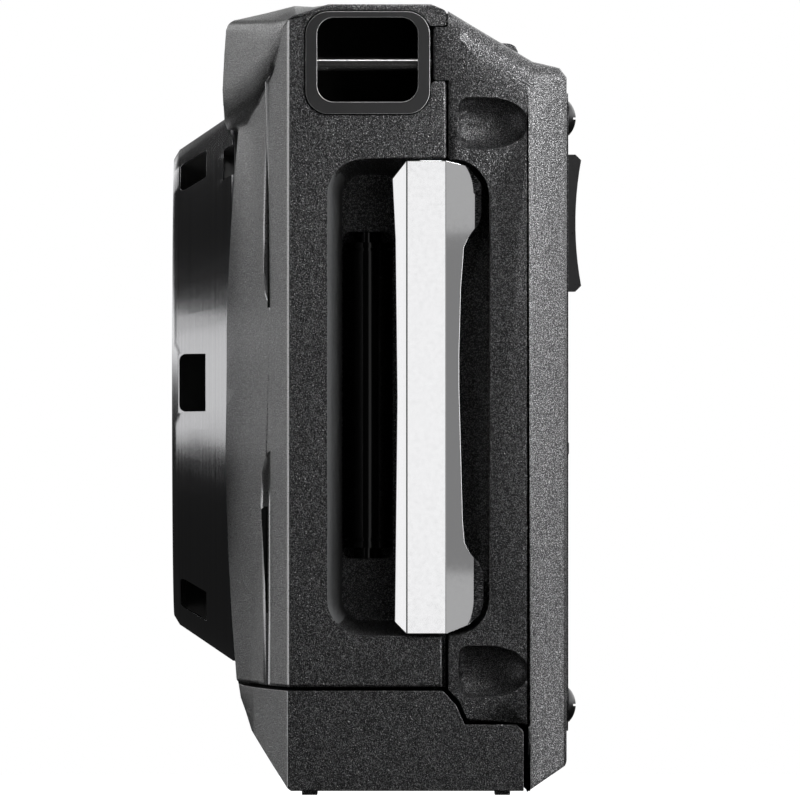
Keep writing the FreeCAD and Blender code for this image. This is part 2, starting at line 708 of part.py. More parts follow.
def recess_outline(inset):
    """The outline of the end recess, moved inwards but for its back."""
    return round_box(
        S.recess_front_y + inset, S.recess_back_y,
        S.recess_low_z + inset, S.recess_high_z - inset, S.recess_round - inset)


def cut_recess(body):
    """The end recess with its sloping wall, wider at its mouth."""
    lofted(body, SIDE, [
        (recess_x, recess_outline(S.recess_slant)),
        (S.end_x + 0.01, recess_outline(0)),
    ], cut=True)


def cut_bay_room(body):
    """The room in the casing's floor that the battery bay passes through."""
    prism(body, PLAN, S.bay_low_z, bay_floor_z + 2, box_points(
        S.bay_x - S.fit, S.bay_end_x + S.fit, S.bay_front_y - S.fit, S.bay_back_y + S.fit), cut=True)


def seal_outline(grow):
    """The ring of the shell seal, which ends on both walls of the battery bay."""
    half = S.gasket_wide / 2 + grow
    low = bay_floor_z - 1
    step = S.door_x - S.door_gap - 0.85
    left = -S.end_x + S.wall / 2
    right = inner_end_x + 0.9
    top = S.split_top_z - S.gasket_cover - S.gasket_wide / 2
    tail_low = top - half + 0.5
    tail_x = S.end_x - S.gasket_tail + grow
    bottom = S.under_z + S.wall / 2
    return [
        (S.bay_x - 0.3, low - half), (S.bay_x - 0.3, low + half),
        (step - half, low + half), (step - half, bottom + half),
        (left + half, bottom + half), (left + half, top - half),
        (right - half, top - half), (right - half, low + half),
        (S.bay_end_x + 0.3, low + half), (S.bay_end_x + 0.3, low - half),
        (right + half, low - half), (right + half, tail_low), (tail_x, tail_low), (tail_x, top + half),
        (left - half, top + half), (left - half, bottom - half),
        (step + half, bottom - half), (step + half, low - half),
    ]


# the two decorative steps, each point as distances from the end face and from the lens axis
STEP_HIGH = [
    (12.1, 25.4), (12.3, 24.9), (13.6, 21.5), (14.65, 19.2), (15.5, 14), (15.6, 9.5), (14.2, 8), (10.9, 6.6),
]
STEP_LOW = [
    (4.7, -4), (8.3, -4.6), (12.9, -5.6), (15.8, -7.2), (16.8, -10), (15.6, -18.9), (15.3, -25.9),
    (9.5, -25.9),
]
# the rounded end of the scoops, as shares of its length and of the scoop's radius
SCOOP_TAIL = [(0, 1), (0.2, 0.985), (0.4, 0.93), (0.6, 0.82), (0.75, 0.69), (0.87, 0.52), (0.95, 0.33)]
# the small rib on the rear top slope, seen from the side, from the slope's lower end
RIB = [
    (-2.76, 1.44), (-2.52, 1.56), (-1.81, 1.52), (-1.46, 1.29), (-1.24, 0.89), (-1.2, 0.54), (-2.06, 0.54),
]
# the brow's outline from the side, clockwise, as distances behind its front and below its top
BROW_MIDDLE = [
    (15.1, 0.55), (9.1, 0.15), (6.14, 0), (3.8, 0.6), (1, 1.23), (0.55, 1.5), (0.35, 2.05), (0.2, 4.1),
    (0.05, 7.1), (0, 8.1), (0.1, 9.6), (0.3, 10.35), (1.9, 10.5), (9.4, 10.6), (15.1, 8.1),
]
# the same where its lower edge has drawn back, where it climbs, and where the ends turn flatter
BROW_FLANK = [
    (15.1, 0.55), (9.1, 0.15), (6.14, 0), (3.8, 0.6), (1, 1.23), (0.55, 1.5), (0.35, 2.05), (0.2, 4.1),
    (0.05, 7.1), (0.1, 8.1), (0.35, 9.2), (0.8, 10), (1.5, 10.5), (9.4, 10.6), (15.1, 8.1),
]
BROW_SHOULDER = [
    (15.1, 0.58), (9.1, 0.31), (6.24, 0.51), (4.96, 0.99), (3.38, 1.53), (3.03, 1.82), (2.83, 2.28),
    (2.68, 3.6), (2.55, 5.6), (2.6, 6.6), (2.75, 7.5), (3.05, 8.2), (3.75, 8.5), (9.4, 8.6), (15.1, 7.4),
]
BROW_TURN = [
    (15.1, 0.6), (9.1, 0.4), (6.3, 0.8), (5.6, 1.2), (4.7, 1.7), (4.4, 2), (4.2, 2.4), (4.05, 3.3),
    (4, 4.3), (4.05, 4.9), (4.15, 5.5), (4.4, 6.1), (5, 6.35), (9.4, 6.4), (15.1, 6.1),
]
# its outline where it runs out, as distances behind the end's front edge and below that edge's top
BROW_END = [
    (9.4, -0.8), (3.5, -0.8), (0.75, 0.05), (0.55, 0.15), (0.4, 0.22), (0.3, 0.28), (0.22, 0.34),
    (0.18, 0.4), (0.16, 0.45), (0.14, 0.5), (0.12, 0.55), (0.11, 0.6), (0.1, 0.65), (3.7, 0.7), (9.4, 0.6),
]


def dome_outline(front_y):
    """The swelling seen from the side: a long shallow curve, with its front at a given Y."""
    half = S.dome_tall / 2
    return [
        (front_y + S.dome_fall, S.dome_z + half, S.dome_curve),
        (front_y + S.dome_fall, S.dome_z - half),
        (S.split_y - 6, S.dome_z - half),
        (S.split_y - 6, S.dome_z + half),
    ]


def make_front_shell():
    """The front half of the casing: crowned front, brow, ring seat, end recess, lug pocket."""
    body = new_body("front_shell")
    crowned_prism(body, S.under_z, S.brow_top_z + 2, S.split_y)
    lofted(body, SIDE, [
        (S.dome_far_x, dome_outline(crown_at(S.dome_far_x, 0.1))),
        (-S.dome_half, dome_outline(S.dome_y)),
        (S.dome_half, dome_outline(S.dome_y)),
        (S.dome_near_x, dome_outline(crown_at(S.dome_near_x, 0.1))),
    ])
    prism(body, SIDE, -S.end_x - FAR, S.end_x + FAR, casing_top(-1), cut=True)
    cut_front_bottom(body)
    brow_end_x = S.end_x - 0.3
    middle, flank, shoulder, turn = [
        [(S.brow_y + back, S.brow_top_z - down) for back, down in outline]
        for outline in (BROW_MIDDLE, BROW_FLANK, BROW_SHOULDER, BROW_TURN)]
    end = [(S.front_edge_y + back, S.front_top_z - down) for back, down in BROW_END]
    lofted(body, SIDE, [
        (-brow_end_x, end), (-S.brow_turn_x, turn), (-S.brow_shoulder_x, shoulder),
        (-S.brow_flank_x, flank), (-S.brow_half, middle), (S.brow_half, middle),
        (S.brow_flank_x, flank), (S.brow_shoulder_x, shoulder), (S.brow_turn_x, turn),
        (brow_end_x, end)])
    # seats for the lens ring, the flash and the focus lamp
    disc(body, FRONT, S.brow_y - 5, S.ring_seat_y, 0, S.lens_z, S.ring_base_radius + S.fit, cut=True)
    disc(body, FRONT, S.ring_seat_y - 1, cavity_y + 1, 0, S.lens_z, S.lens_bore, cut=True)
    prism(body, FRONT, S.brow_y - 1, cavity_y + 1, box_points(
        -S.flash_half - S.fit, S.flash_half + S.fit,
        S.flash_low_z - S.fit, S.flash_low_z + S.flash_tall + S.fit), cut=True)
    disc(body, FRONT, S.brow_y, cavity_y + 3, S.lamp_x, S.lamp_z, S.lamp_radius + S.fit, cut=True)
    # the recess, its deep slot, the pocket of the strap lug and the notch for the rear shell's tab
    cut_recess(body)
    prism(body, SIDE, slot_x, recess_x + 1, round_box(
        S.slot_front_y, S.slot_back_y, S.slot_low_z, S.slot_high_z, S.slot_round), cut=True)
    prism(body, SIDE, S.end_x - S.lug_deep - S.fit, S.end_x + FAR, round_box(
        S.lug_front_y - S.fit, S.lug_back_y + S.fit,
        S.lug_low_z - S.fit, S.lug_high_z + S.fit, S.lug_round + S.fit), cut=True)
    prism(body, SIDE, S.end_x - S.tab_deep - S.fit, S.end_x + FAR, box_points(
        S.lug_back_y, S.split_y + 1, S.tab_low_z - S.fit, S.tab_high_z + S.fit), cut=True)
    prism(body, SIDE, S.end_x - 1, S.end_x + 1, box_points(
        S.split_y - 0.35, S.split_y + 1, S.door_top_z, S.recess_low_z + 0.5), cut=True)
    disc(body, SIDE, inner_end_x - 1, recess_x + 1, bar_foot_y, foot_low_z, S.bar_screw, cut=True)
    disc(body, SIDE, inner_end_x - 1, recess_x + 1, bar_foot_y, foot_high_z, S.bar_screw, cut=True)
    # the two decorative steps beside the lens
    for path in (STEP_HIGH, STEP_LOW):
        corners = [(S.end_x - inwards, S.lens_z + up) for inwards, up in path]
        prism(body, FRONT, S.brow_y, S.step_y, corners, cut=True)
    # the hollow inside, the room for the door and the battery bay
    prism(body, PLAN, bay_floor_z + 1, cavity_top_z, [
        (-S.end_x + S.wall, S.split_y + 1),
        (-S.end_x + S.wall, crown_at(S.end_x - S.wall, S.wall), crown_curve),
        (inner_end_x, crown_at(inner_end_x, S.wall)),
        (inner_end_x, S.split_y + 1),
    ], cut=True)
    prism(body, PLAN, S.chamfer_z + 1.6, bay_floor_z + 2, [
        (-S.end_x + S.wall, S.split_y + 1),
        (-S.end_x + S.wall, crown_at(S.end_x - S.wall, S.wall), crown_curve),
        (well_x, crown_at(well_x, S.wall)),
        (well_x, S.split_y + 1),
    ], cut=True)
    prism(body, PLAN, S.under_z + S.wall, S.chamfer_z + 2, box_points(
        -S.end_x + S.wall, well_x, S.chamfer_y + 1.2, S.split_y + 1), cut=True)
    cut_bay_room(body)
    cut_door_room(body)
    disc(body, PLAN, S.under_z - 1, S.under_z + S.wall + 1, S.tripod_x, S.tripod_y,
         S.tripod_radius + S.tripod_wall + S.fit, cut=True)
    # openings for the top buttons
    prism(body, PLAN, cavity_top_z - 1, S.brow_top_z + 1, round_box(
        S.shutter_x - S.shutter_half - S.key_gap, S.shutter_x + S.shutter_half + S.key_gap,
        S.top_key_y - S.top_key_half - S.key_gap, S.top_key_y + S.top_key_half + S.key_gap,
        S.top_key_half - 0.2), cut=True)
    disc(body, PLAN, cavity_top_z - 1, S.brow_top_z + 1, S.power_x, S.top_key_y,
         S.power_radius + S.key_gap, cut=True)
    # the bed of the grip pad
    prism(body, PLAN, S.grip_low_z - S.fit, S.grip_high_z + S.fit, grip_outline(S.fit), cut=True)
    # the groove of the shell seal
    prism(body, FRONT, S.split_y - 0.9, S.split_y + 1, seal_outline(0.05), cut=True)
    # hinge ear and feet
    hinge_ear(body, ear_front_y, ear_front_y + ear_wide)
    foot(body, -S.end_x + 4, foot_front_y)
    # the catch over which the door's lock slides
    catch_y = slider_low_y + 3 + S.slider_travel + 0.2
    prism(body, SIDE, S.slider_x - 0.9, S.slider_x + 0.9, [
        (catch_y, S.door_top_z - 3.8), (S.split_y - 0.1, S.door_top_z - 3.8),
        (S.split_y - 0.1, bay_floor_z + 0.5), (catch_y + 1.25, bay_floor_z + 0.5),
        (catch_y + 1.25, S.door_top_z - 2.6), (catch_y, S.door_top_z - 2.6),
    ])


def foot(body, low_x, low_y):
    """A low rib that the camera stands on."""
    prism(body, PLAN, 0, S.under_z + 0.5, box_points(low_x, low_x + 6, low_y, low_y + 1.3))


def hinge_ear(body, low_y, high_y):
    """One of the two ears that hold the door's hinge pin."""
    ear_radius = S.hinge_radius - 0.2
    prism(body, FRONT, low_y, high_y, [
        (S.door_x - 4, hinge_z - ear_radius),
        (hinge_x, hinge_z - ear_radius, ear_radius),
        (hinge_x + ear_radius, hinge_z, ear_radius),
        (hinge_x, hinge_z + ear_radius),
        (S.door_x - 4, hinge_z + ear_radius),
    ])
    disc(body, FRONT, low_y - 1, high_y + 0.5, hinge_x, hinge_z, S.hinge_pin + 0.05, cut=True)


def grip_outline(grow):
    """The grip pad's plan: a skin on the crowned front and round onto the end."""
    out = 0.9 + grow
    deep = 0.5 + grow
    edge = S.end_x - 1.4
    return [
        (S.grip_x + grow, crown_at(S.grip_x, -out)),
        (S.grip_x + grow, crown_at(S.grip_x, deep), -(crown_curve - deep)),
        (-edge + S.grip_thick + grow - 0.3, crown_at(edge, deep)),
        (-S.end_x + S.grip_thick - S.grip_proud + grow, S.front_edge_y + 2),
        (-S.end_x + S.grip_thick - S.grip_proud + grow, S.split_y - 1 + grow),
        (-S.end_x - S.grip_proud - grow, S.split_y - 1 + grow),
        (-S.end_x - S.grip_proud - grow, S.front_edge_y + 0.8),
        (-edge, crown_at(edge, -out), crown_curve + out),
    ]


def make_grip_pad():
    """The rubber pad on the hand side's front and end."""
    body = new_body("grip_pad")
    prism(body, PLAN, S.grip_low_z, S.grip_high_z, grip_outline(0))


def round_slope_end(body, side):
    """Rounds the edge between an end face and the top slope behind it; side is 1 for the strap end."""
    run_y = S.slope_y - rear_y
    run_z = S.slope_z - S.split_top_z
    sections = []
    for level, top, inwards, radius in (
            (rear_y - run_y * 0.07, S.split_top_z - run_z * 0.07, size(0), S.slope_round_start),
            (rear_y + run_y * 0.25, S.split_top_z + run_z * 0.25, size(0), S.slope_round),
            (S.slope_y, S.slope_z, size(0.1), S.slope_round),
            (S.back_y - 0.6, S.slope_z - 0.5, S.rear_bevel * 0.88, S.slope_round_end),
            (S.back_y + 1, S.slope_z - 2.6, S.rear_bevel, S.slope_round_end)):
        face = (S.end_x - inwards) * side
        sections.append((level, [
            (face - radius * side, top, radius * -side), (face, top - radius),
            (face + side, top - radius), (face + side, top + 1), (face - radius * side, top + 1),
        ]))
    lofted(body, FRONT, sections, cut=True)


def make_rear_shell():
    """The rear half of the casing: bevelled back edges, recess, scoops, plate seat, tab."""
    body = new_body("rear_shell")
    bevel_x = S.end_x - S.rear_bevel
    prism(body, PLAN, S.under_z, S.top_z, [
        (-S.end_x, rear_y), (S.end_x, rear_y), (S.end_x, S.crease_y),
        (bevel_x, S.back_y - S.rear_round * 0.4), (bevel_x - S.rear_round * 0.6, S.back_y),
        (-bevel_x + S.rear_round * 0.6, S.back_y), (-bevel_x, S.back_y - S.rear_round * 0.4),
        (-S.end_x, S.crease_y),
    ])
    prism(body, SIDE, -S.end_x - FAR, S.end_x + FAR, casing_top(1), cut=True)
    prism(body, SIDE, -S.end_x - FAR, S.end_x + FAR, [
        (0, S.under_z - FAR), (0, S.under_z), (S.back_chamfer_y, S.under_z),
        (S.back_y - 0.15, S.back_chamfer_z), (S.back_y + 1, S.back_chamfer_z + 1.8),
        (S.back_y + FAR, S.back_chamfer_z + 1.8), (S.back_y + FAR, S.under_z - FAR),
    ], cut=True)
    cut_recess(body)
    round_slope_end(body, 1)
    round_slope_end(body, -1)
    prism(body, SIDE, S.rib_x, S.rib_x + S.rib_long, [
        (S.slope_y + back, S.slope_z + up) for back, up in RIB])
    # the hollow inside
    prism(body, SIDE, -S.end_x + S.wall, inner_end_x, [
        (rear_y - 1, bay_floor_z + 1), (wall_in_y, bay_floor_z + 1), (wall_in_y, S.slope_z - 2.4),
        (rear_y - 1, cavity_top_z),
    ], cut=True)
    prism(body, SIDE, -S.end_x + S.wall, well_x, box_points(
        rear_y - 1, wall_in_y, S.under_z + S.wall, bay_floor_z + 2), cut=True)
    cut_bay_room(body)
    cut_door_room(body)
    # the seat of the back plate, and the openings in the wall under it
    prism(body, FRONT, plate_floor_y, S.back_y + 2, round_box(
        -S.plate_half - S.fit, S.plate_half + S.fit,
        S.plate_low_z - S.fit, S.plate_high_z + S.fit, S.plate_round + S.fit), cut=True)
    prism(body, FRONT, wall_in_y - 1, plate_floor_y + 1, box_points(
        S.screen_x - S.screen_wide / 2 + 1, inner_end_x - 1,
        S.screen_z - S.screen_tall / 2 + 4.6, S.screen_z + S.screen_tall / 2 - 1), cut=True)
    prism(body, FRONT, wall_in_y - 1, plate_floor_y + 1, [
        (S.keys_x - S.key_out - 4.5, S.lower_row_z - 4), (keypad_edge_x, S.lower_row_z - 4),
        (keypad_edge_x, S.rocker_z + S.rocker_tall / 2 + 0.6),
        (S.rocker_x - S.rocker_wide / 2 - 1.7, S.rocker_z + S.rocker_tall / 2 + 0.6),
        (S.rocker_x - S.rocker_wide / 2 - 1.7, S.rocker_z - S.rocker_tall / 2 - 0.6),
        (S.keys_x - S.key_out - 4.5, S.rocker_z - S.rocker_tall / 2 - 0.6),
    ], cut=True)
    discs(body, FRONT, plate_floor_y - 4, plate_floor_y + 1, screw_places(), S.screw_shank + 0.05, cut=True)
    # two scoops, cut by a rod with a rounded end
    tail_y = S.scoop_y + S.scoop_long - S.scoop_tail
    tail = [(tail_y + S.scoop_tail * along_it, S.scoop_radius * across) for along_it, across in SCOOP_TAIL]
    for height in (S.scoop_high_z, S.scoop_low_z):
        turned(body, height, [
            (S.scoop_y, 0), (S.scoop_y, S.scoop_radius - S.scoop_corner),
            (S.scoop_y + S.scoop_corner * 0.3, S.scoop_radius - S.scoop_corner * 0.3),
            (S.scoop_y + S.scoop_corner, S.scoop_radius), *tail, (S.scoop_y + S.scoop_long, 0),
        ], cut=True, axis_x=S.end_x)
    # the tab that keeps the strap pin in, a hinge ear and the back feet
    prism(body, SIDE, S.end_x - S.tab_deep, S.end_x, box_points(
        S.lug_back_y + S.fit * 2, rear_y + 1, S.tab_low_z, S.tab_high_z))
    hinge_ear(body, ear_back_y, ear_back_y + ear_wide)
    foot(body, -S.end_x + 4, foot_rear_y)


def screw_places():
    """The X and Z of the four back screws."""
    return [(x, z) for x in (-S.screw_x, S.screw_x) for z in (S.screw_low_z, S.screw_high_z)]


def make_lens_ring():
    """The turned ring about the lens, with notches in its cone."""
    body = new_body("lens_ring")
    turned(body, S.lens_z, [
        (S.ring_front_y, S.ring_mouth),
        (S.ring_front_y, S.ring_front_radius),
        (S.ring_front_y + S.ring_lip, S.ring_lip_radius),
        (S.ring_side_y, S.ring_base_radius),
        (S.ring_seat_y, S.ring_base_radius),
        (S.ring_seat_y, S.ring_bore),
        (S.ring_front_y + 0.8, S.ring_bore),
    ])
    for step in range(6):
        cut_ring(body, S.notch_turn.number + 60 * step,
                 S.notch_front_y, S.notch_deep, S.notch_floor, S.notch_wide)
    dress(body, "Fillet", S.notch_round, lambda edge: is_straight(edge)
          and near(edge.CenterOfMass.y, S.notch_front_y) and edge.Length < S.notch_wide.number * 0.8)
    for turn in (S.index_turn.number, 180 - S.index_turn.number):
        cut_ring(body, turn, S.ring_side_y - 0.75,
                 size(0.95), S.ring_base_radius - S.index_deep, S.index_wide)


def cut_ring(body, turn, front_y, deep, floor, wide):
    """Cuts a notch into the lens ring from outside, in the direction that turn gives in degrees."""
    angle = math.radians(turn)
    out_x, out_z = math.cos(angle), math.sin(angle)
    corners = [(floor, wide / 2), (S.ring_base_radius + 2, wide / 2),
               (S.ring_base_radius + 2, -(wide / 2)), (floor, -(wide / 2))]
    prism(body, FRONT, front_y, front_y + deep, [
        (reach * out_x - side * out_z, S.lens_z + reach * out_z + side * out_x)
        for reach, side in corners], cut=True)


def make_light_ring():
    """The clear ring between the cover glass and the lens ring, which spreads the close-up light."""
    body = new_body("light_ring")
    back_y = led_front_y - S.led_tall - 0.1
    disc(body, FRONT, S.light_front_y, S.light_front_y + S.light_thick, 0, S.lens_z,
         S.ring_bore - S.fit, inner=S.glass_radius + S.fit)
    disc(body, FRONT, S.light_front_y + S.light_thick, led_front_y, 0, S.lens_z,
         S.ring_bore - S.fit, inner=S.ring_bore - S.fit - 1)
    disc(body, FRONT, S.light_front_y + S.light_thick, back_y, 0, S.lens_z,
         S.glass_radius + S.fit + 0.8, inner=S.lens_bore)


def make_led_board():
    """The ring board with six light-emitting chips."""
    body = new_body("led_board")
    disc(body, FRONT, led_front_y, S.ring_seat_y, 0, S.lens_z, S.ring_bore - S.fit, inner=S.lens_bore)
    half = S.led_size / 2
    for step in range(6):
        angle = math.radians(60 * step + 30)
        u = S.led_circle * math.cos(angle)
        v = S.lens_z + S.led_circle * math.sin(angle)
        prism(body, FRONT, led_front_y - S.led_tall, led_front_y, box_points(
            u - half, u + half, v - half, v + half))


def make_cover_glass():
    """The flat glass in front of the lens, with a bevelled edge."""
    body = new_body("lens_cover_glass")
    back_y = S.light_front_y + S.light_thick
    turned(body, S.lens_z, [
        (S.light_front_y, 0),
        (back_y, 0),
        (back_y, S.glass_radius),
        (S.light_front_y + 0.3, S.glass_radius),
        (S.light_front_y, S.glass_radius - 0.3),
    ])


def make_flash():
    """The flash window, the reflector with its tube, and the capacitor."""
    window = new_body("flash_window")
    prism(window, FRONT, S.brow_y + 0.25, S.brow_y + 0.1 + S.window_thick, round_box(
        -S.flash_half, S.flash_half, S.flash_low_z, S.flash_low_z + S.flash_tall, size(0.4)))
    unit = new_body("flash_unit")
    front_y = S.brow_y + 0.2 + S.window_thick
    middle_z = S.flash_low_z + S.flash_tall / 2
    prism(unit, SIDE, -S.flash_half + 0.4, S.flash_half - 0.4, [
        (front_y, S.flash_low_z + 0.3), (front_y + 5, S.flash_low_z + 1.1),
        (front_y + 5, S.flash_low_z + S.flash_tall - 1.1), (front_y, S.flash_low_z + S.flash_tall - 0.3),
    ])
    prism(unit, SIDE, -S.flash_half + 1.2, S.flash_half - 1.2, [
        (front_y - 1, S.flash_low_z + 0.8), (front_y + 3, middle_z - 0.5), (front_y + 3, middle_z + 0.5),
        (front_y - 1, S.flash_low_z + S.flash_tall - 0.8),
    ], cut=True)
    disc(unit, SIDE, -S.flash_half + 0.6, S.flash_half - 0.6, front_y + 2.2, middle_z, size(0.5))
    capacitor = new_body("flash_capacitor")
    disc(capacitor, SIDE, S.bay_x + 6, S.bay_x + 30, S.bay_front_y + S.capacitor_radius + 0.3,
         S.bay_high_z + S.capacitor_radius + 0.3, S.capacitor_radius)


def make_focus_lamp():
    """The small round window of the focus lamp."""
    body = new_body("focus_lamp_window")
    front_y = crown_at(S.lamp_x, -0.15)
    turned(body, S.lamp_z, [
        (front_y, 0), (front_y + 4, 0), (front_y + 4, S.lamp_radius),
        (front_y + 0.5, S.lamp_radius), (front_y + 0.2, S.lamp_radius - 0.4),
    ], axis_x=S.lamp_x)


def bar_outline():
    """The guard bar seen from the end: wide at both ends, narrow at its waist."""
    low = S.bar_low_z
    high = S.bar_high_z
    back = S.bar_back_y
    waist = S.bar_waist_y
    return [
        (S.bar_front_y + 0.2, low + 1), (S.bar_facet_y, low), (S.bar_ridge_y, low),
        (back - 1.1, low + 0.75), (back - 0.2, low + 1.6), (back + 0.1, low + 2.6),
        (back + 0.1, low + 5.1), (back - 0.3, low + 6), (back - 1, low + 6.7),
        (waist + 0.45, low + 7.6), (waist + 0.3, low + 9.4), (waist, low + 20.5), (waist, high - 16),
        (waist + 0.15, high - 10.5), (waist + 0.4, high - 7.2), (back - 1.1, high - 6.3),
        (back - 0.4, high - 5.4), (back - 0.1, high - 4.6), (back - 0.1, high - 1.9),
        (back - 0.7, high - 1.1), (back - 1.3, high - 0.4), (S.bar_ridge_y, high),
        (S.bar_facet_y, high), (S.bar_front_y, high - 1.5),
        (S.bar_front_y + 0.25, high - 6.5), (S.bar_front_y + 0.4, (low + high) / 2),
        (S.bar_front_y + 0.25, low + 6),
    ]


def make_guard_bar():
    """The polished bar over the end recess, with its two feet and screws."""
    body = new_body("guard_bar")
    prism(body, SIDE, bar_in_x, S.bar_out_x, bar_outline())
    reach = S.bar_out_x + 1
    prism(body, PLAN, S.bar_low_z - 1, S.bar_high_z + 1, [
        (reach, S.bar_ridge_y), (S.bar_out_x, S.bar_ridge_y),
        (S.bar_out_x - S.bar_back_drop, S.bar_back_y + 0.1),
        (S.bar_out_x - S.bar_back_drop - 0.5, S.bar_back_y + 1), (reach, S.bar_back_y + 1),
    ], cut=True)
    prism(body, PLAN, S.bar_low_z - 1, S.bar_high_z + 1, [
        (reach, S.bar_facet_y), (reach, S.bar_front_y - 1),
        (S.bar_out_x - S.bar_front_drop, S.bar_front_y - 1),
        (S.bar_out_x - S.bar_front_drop, S.bar_front_y), (S.bar_out_x, S.bar_facet_y),
    ], cut=True)
    for end_z, way in ((S.bar_low_z, 1), (S.bar_high_z, -1)):
        corners = [(bar_in_x - 1, end_z - way), (S.end_x, end_z - way), (S.end_x, end_z),
                   (bar_in_x - 1, end_z + way * 0.7)]
        prism(body, FRONT, S.bar_front_y - 1, S.bar_back_y + 1, corners, cut=True)
    dress(body, "Fillet", S.bar_soften, lambda edge: along(edge, Z)
          and near(edge.CenterOfMass.x, S.bar_out_x) and near(edge.CenterOfMass.y, S.bar_ridge_y))
    for middle_z in (foot_low_z, foot_high_z):
        prism(body, SIDE, recess_x + 0.05, bar_in_x, round_box(
            S.foot_front_y, S.foot_back_y, middle_z - S.foot_tall / 2, middle_z + S.foot_tall / 2,
            size(0.8)))
        disc(body, SIDE, recess_x - 1, bar_in_x + 0.6, bar_foot_y, middle_z, S.bar_screw - 0.2, cut=True)
    screws = new_body("guard_bar_screws")
    for middle_z in (foot_low_z, foot_high_z):
        disc(screws, SIDE, inner_end_x - 0.1, recess_x + 0.05, bar_foot_y, middle_z, S.bar_screw - 0.05)
        disc(screws, SIDE, recess_x, bar_in_x + 0.5, bar_foot_y, middle_z, S.bar_screw - 0.25)
        disc(screws, SIDE, inner_end_x - 0.5, inner_end_x - 0.02, bar_foot_y, middle_z, S.bar_screw + 0.8)


def make_recess_barrel():
    """The glossy upright barrel in the slot, with a neck and a cap at each end."""
    body = new_body("recess_barrel")
    low = S.slot_low_z + 0.05
    high = S.slot_high_z - 0.05
    stub = S.slot_round + 0.1
    disc(body, PLAN, low, high, barrel_x, barrel_y, S.barrel_radius - stub)
    disc(body, PLAN, low + stub, high - stub, barrel_x, barrel_y, S.barrel_neck)
    disc(body, PLAN, S.barrel_low_z, S.barrel_high_z, barrel_x, barrel_y, S.barrel_radius)
    disc(body, PLAN, low + stub, S.barrel_low_z - 0.25, barrel_x, barrel_y, S.barrel_radius)
    disc(body, PLAN, S.barrel_high_z + 0.25, high - stub, barrel_x, barrel_y, S.barrel_radius)


def make_strap_lug():
    """The framed pocket that the strap goes into, and the pin that it loops round."""
    frame = new_body("strap_lug_frame")
    inner_x = S.end_x - S.lug_deep
    prism(frame, SIDE, inner_x, S.end_x + S.lug_proud, round_box(
        S.lug_front_y, S.lug_back_y, S.lug_low_z, S.lug_high_z, S.lug_round))
    prism(frame, SIDE, inner_x + S.lug_floor, S.end_x + S.lug_proud + 1, round_box(
        S.lug_hole_front_y, S.lug_hole_back_y,
        S.lug_hole_low_z, S.lug_hole_high_z, S.lug_hole_round), cut=True)
    disc(frame, FRONT, S.lug_front_y - 1, S.lug_back_y + 1, S.end_x - S.pin_in, S.pin_z,
         S.pin_radius + 0.03, cut=True)
    pin = new_body("strap_pin")
    disc(pin, FRONT, S.lug_front_y - S.fit + 0.05, S.lug_back_y + S.fit,
         S.end_x - S.pin_in, S.pin_z, S.pin_radius)


def make_battery_door():
    """The bottom door with its wrap-up walls, hinge knuckle and lock slot."""
    body = new_body("battery_door")
    crowned_prism(body, S.under_z, S.door_top_z, S.door_back_y)
    cut_front_bottom(body)
    prism(body, SIDE, -S.end_x - FAR, S.end_x + FAR, [
        (S.door_step_y, S.door_top_z + 1), (S.door_step_y, S.door_top_z),
        (S.door_step_y + 1.1, S.door_top_z - 1.2), (S.door_low_y, S.door_low_z),
        (S.door_back_y - 0.6, S.door_low_z), (S.door_back_y, S.door_low_z - 0.6),
        (S.door_back_y + 1, S.door_low_z - 0.6), (S.door_back_y + 1, S.door_top_z + 1),
    ], cut=True)
    prism(body, PLAN, S.under_z - 1, S.door_top_z + 1, box_points(
        -S.end_x - 1, door_wall_x, S.brow_y - 5, S.door_back_y + 1), cut=True)
    # the room inside for the battery bay
    prism(body, PLAN, S.chamfer_z + 1.6, S.door_top_z + 1, [
        (door_wall_x - 1, S.door_back_y - 1.4),
        (door_wall_x - 1, crown_at(door_wall_x - 1, S.door_wall), crown_curve),
        (S.end_x - S.door_wall, crown_at(S.end_x - S.door_wall, S.door_wall)),
        (S.end_x - S.door_wall, S.door_back_y - 1.4),
    ], cut=True)
    prism(body, PLAN, door_floor_z, S.chamfer_z + 2, box_points(
        door_wall_x - 1, S.end_x - S.door_wall, S.chamfer_y + 1.2, S.door_back_y - 1.4), cut=True)
    # the hinge knuckle between the shell's ears
    low_y = ear_front_y + ear_wide + S.door_gap
    high_y = ear_back_y - S.door_gap
    disc(body, FRONT, low_y, high_y, hinge_x, hinge_z, S.hinge_radius)
    prism(body, FRONT, low_y, high_y, box_points(
        hinge_x, door_wall_x + 1, S.under_z, door_floor_z))
    disc(body, FRONT, low_y - 1, high_y + 1, hinge_x, hinge_z, S.hinge_pin + 0.06, cut=True)
    # the slot and the thumb recess of the lock
    run = S.slider_travel + 0.4
    prism(body, PLAN, S.under_z - 1, S.under_z + 0.9, round_box(
        S.slider_x - S.slider_wide / 2 - 0.2, S.slider_x + S.slider_wide / 2 + 0.2,
        slider_low_y - 0.2, slider_low_y + S.slider_long + run - 0.2, size(0.8)), cut=True)
    prism(body, PLAN, S.under_z - 1, door_floor_z + 1, box_points(
        S.slider_x - 0.9, S.slider_x + 0.9, slider_low_y + 1.8,
        slider_low_y + S.slider_long - 1.8 + run - 0.2), cut=True)
    for low_y in (foot_front_y, foot_rear_y):
        foot(body, S.end_x - 10, low_y)
    pin = new_body("door_hinge_pin")
    disc(pin, FRONT, ear_front_y, ear_back_y + ear_wide, hinge_x, hinge_z, S.hinge_pin)


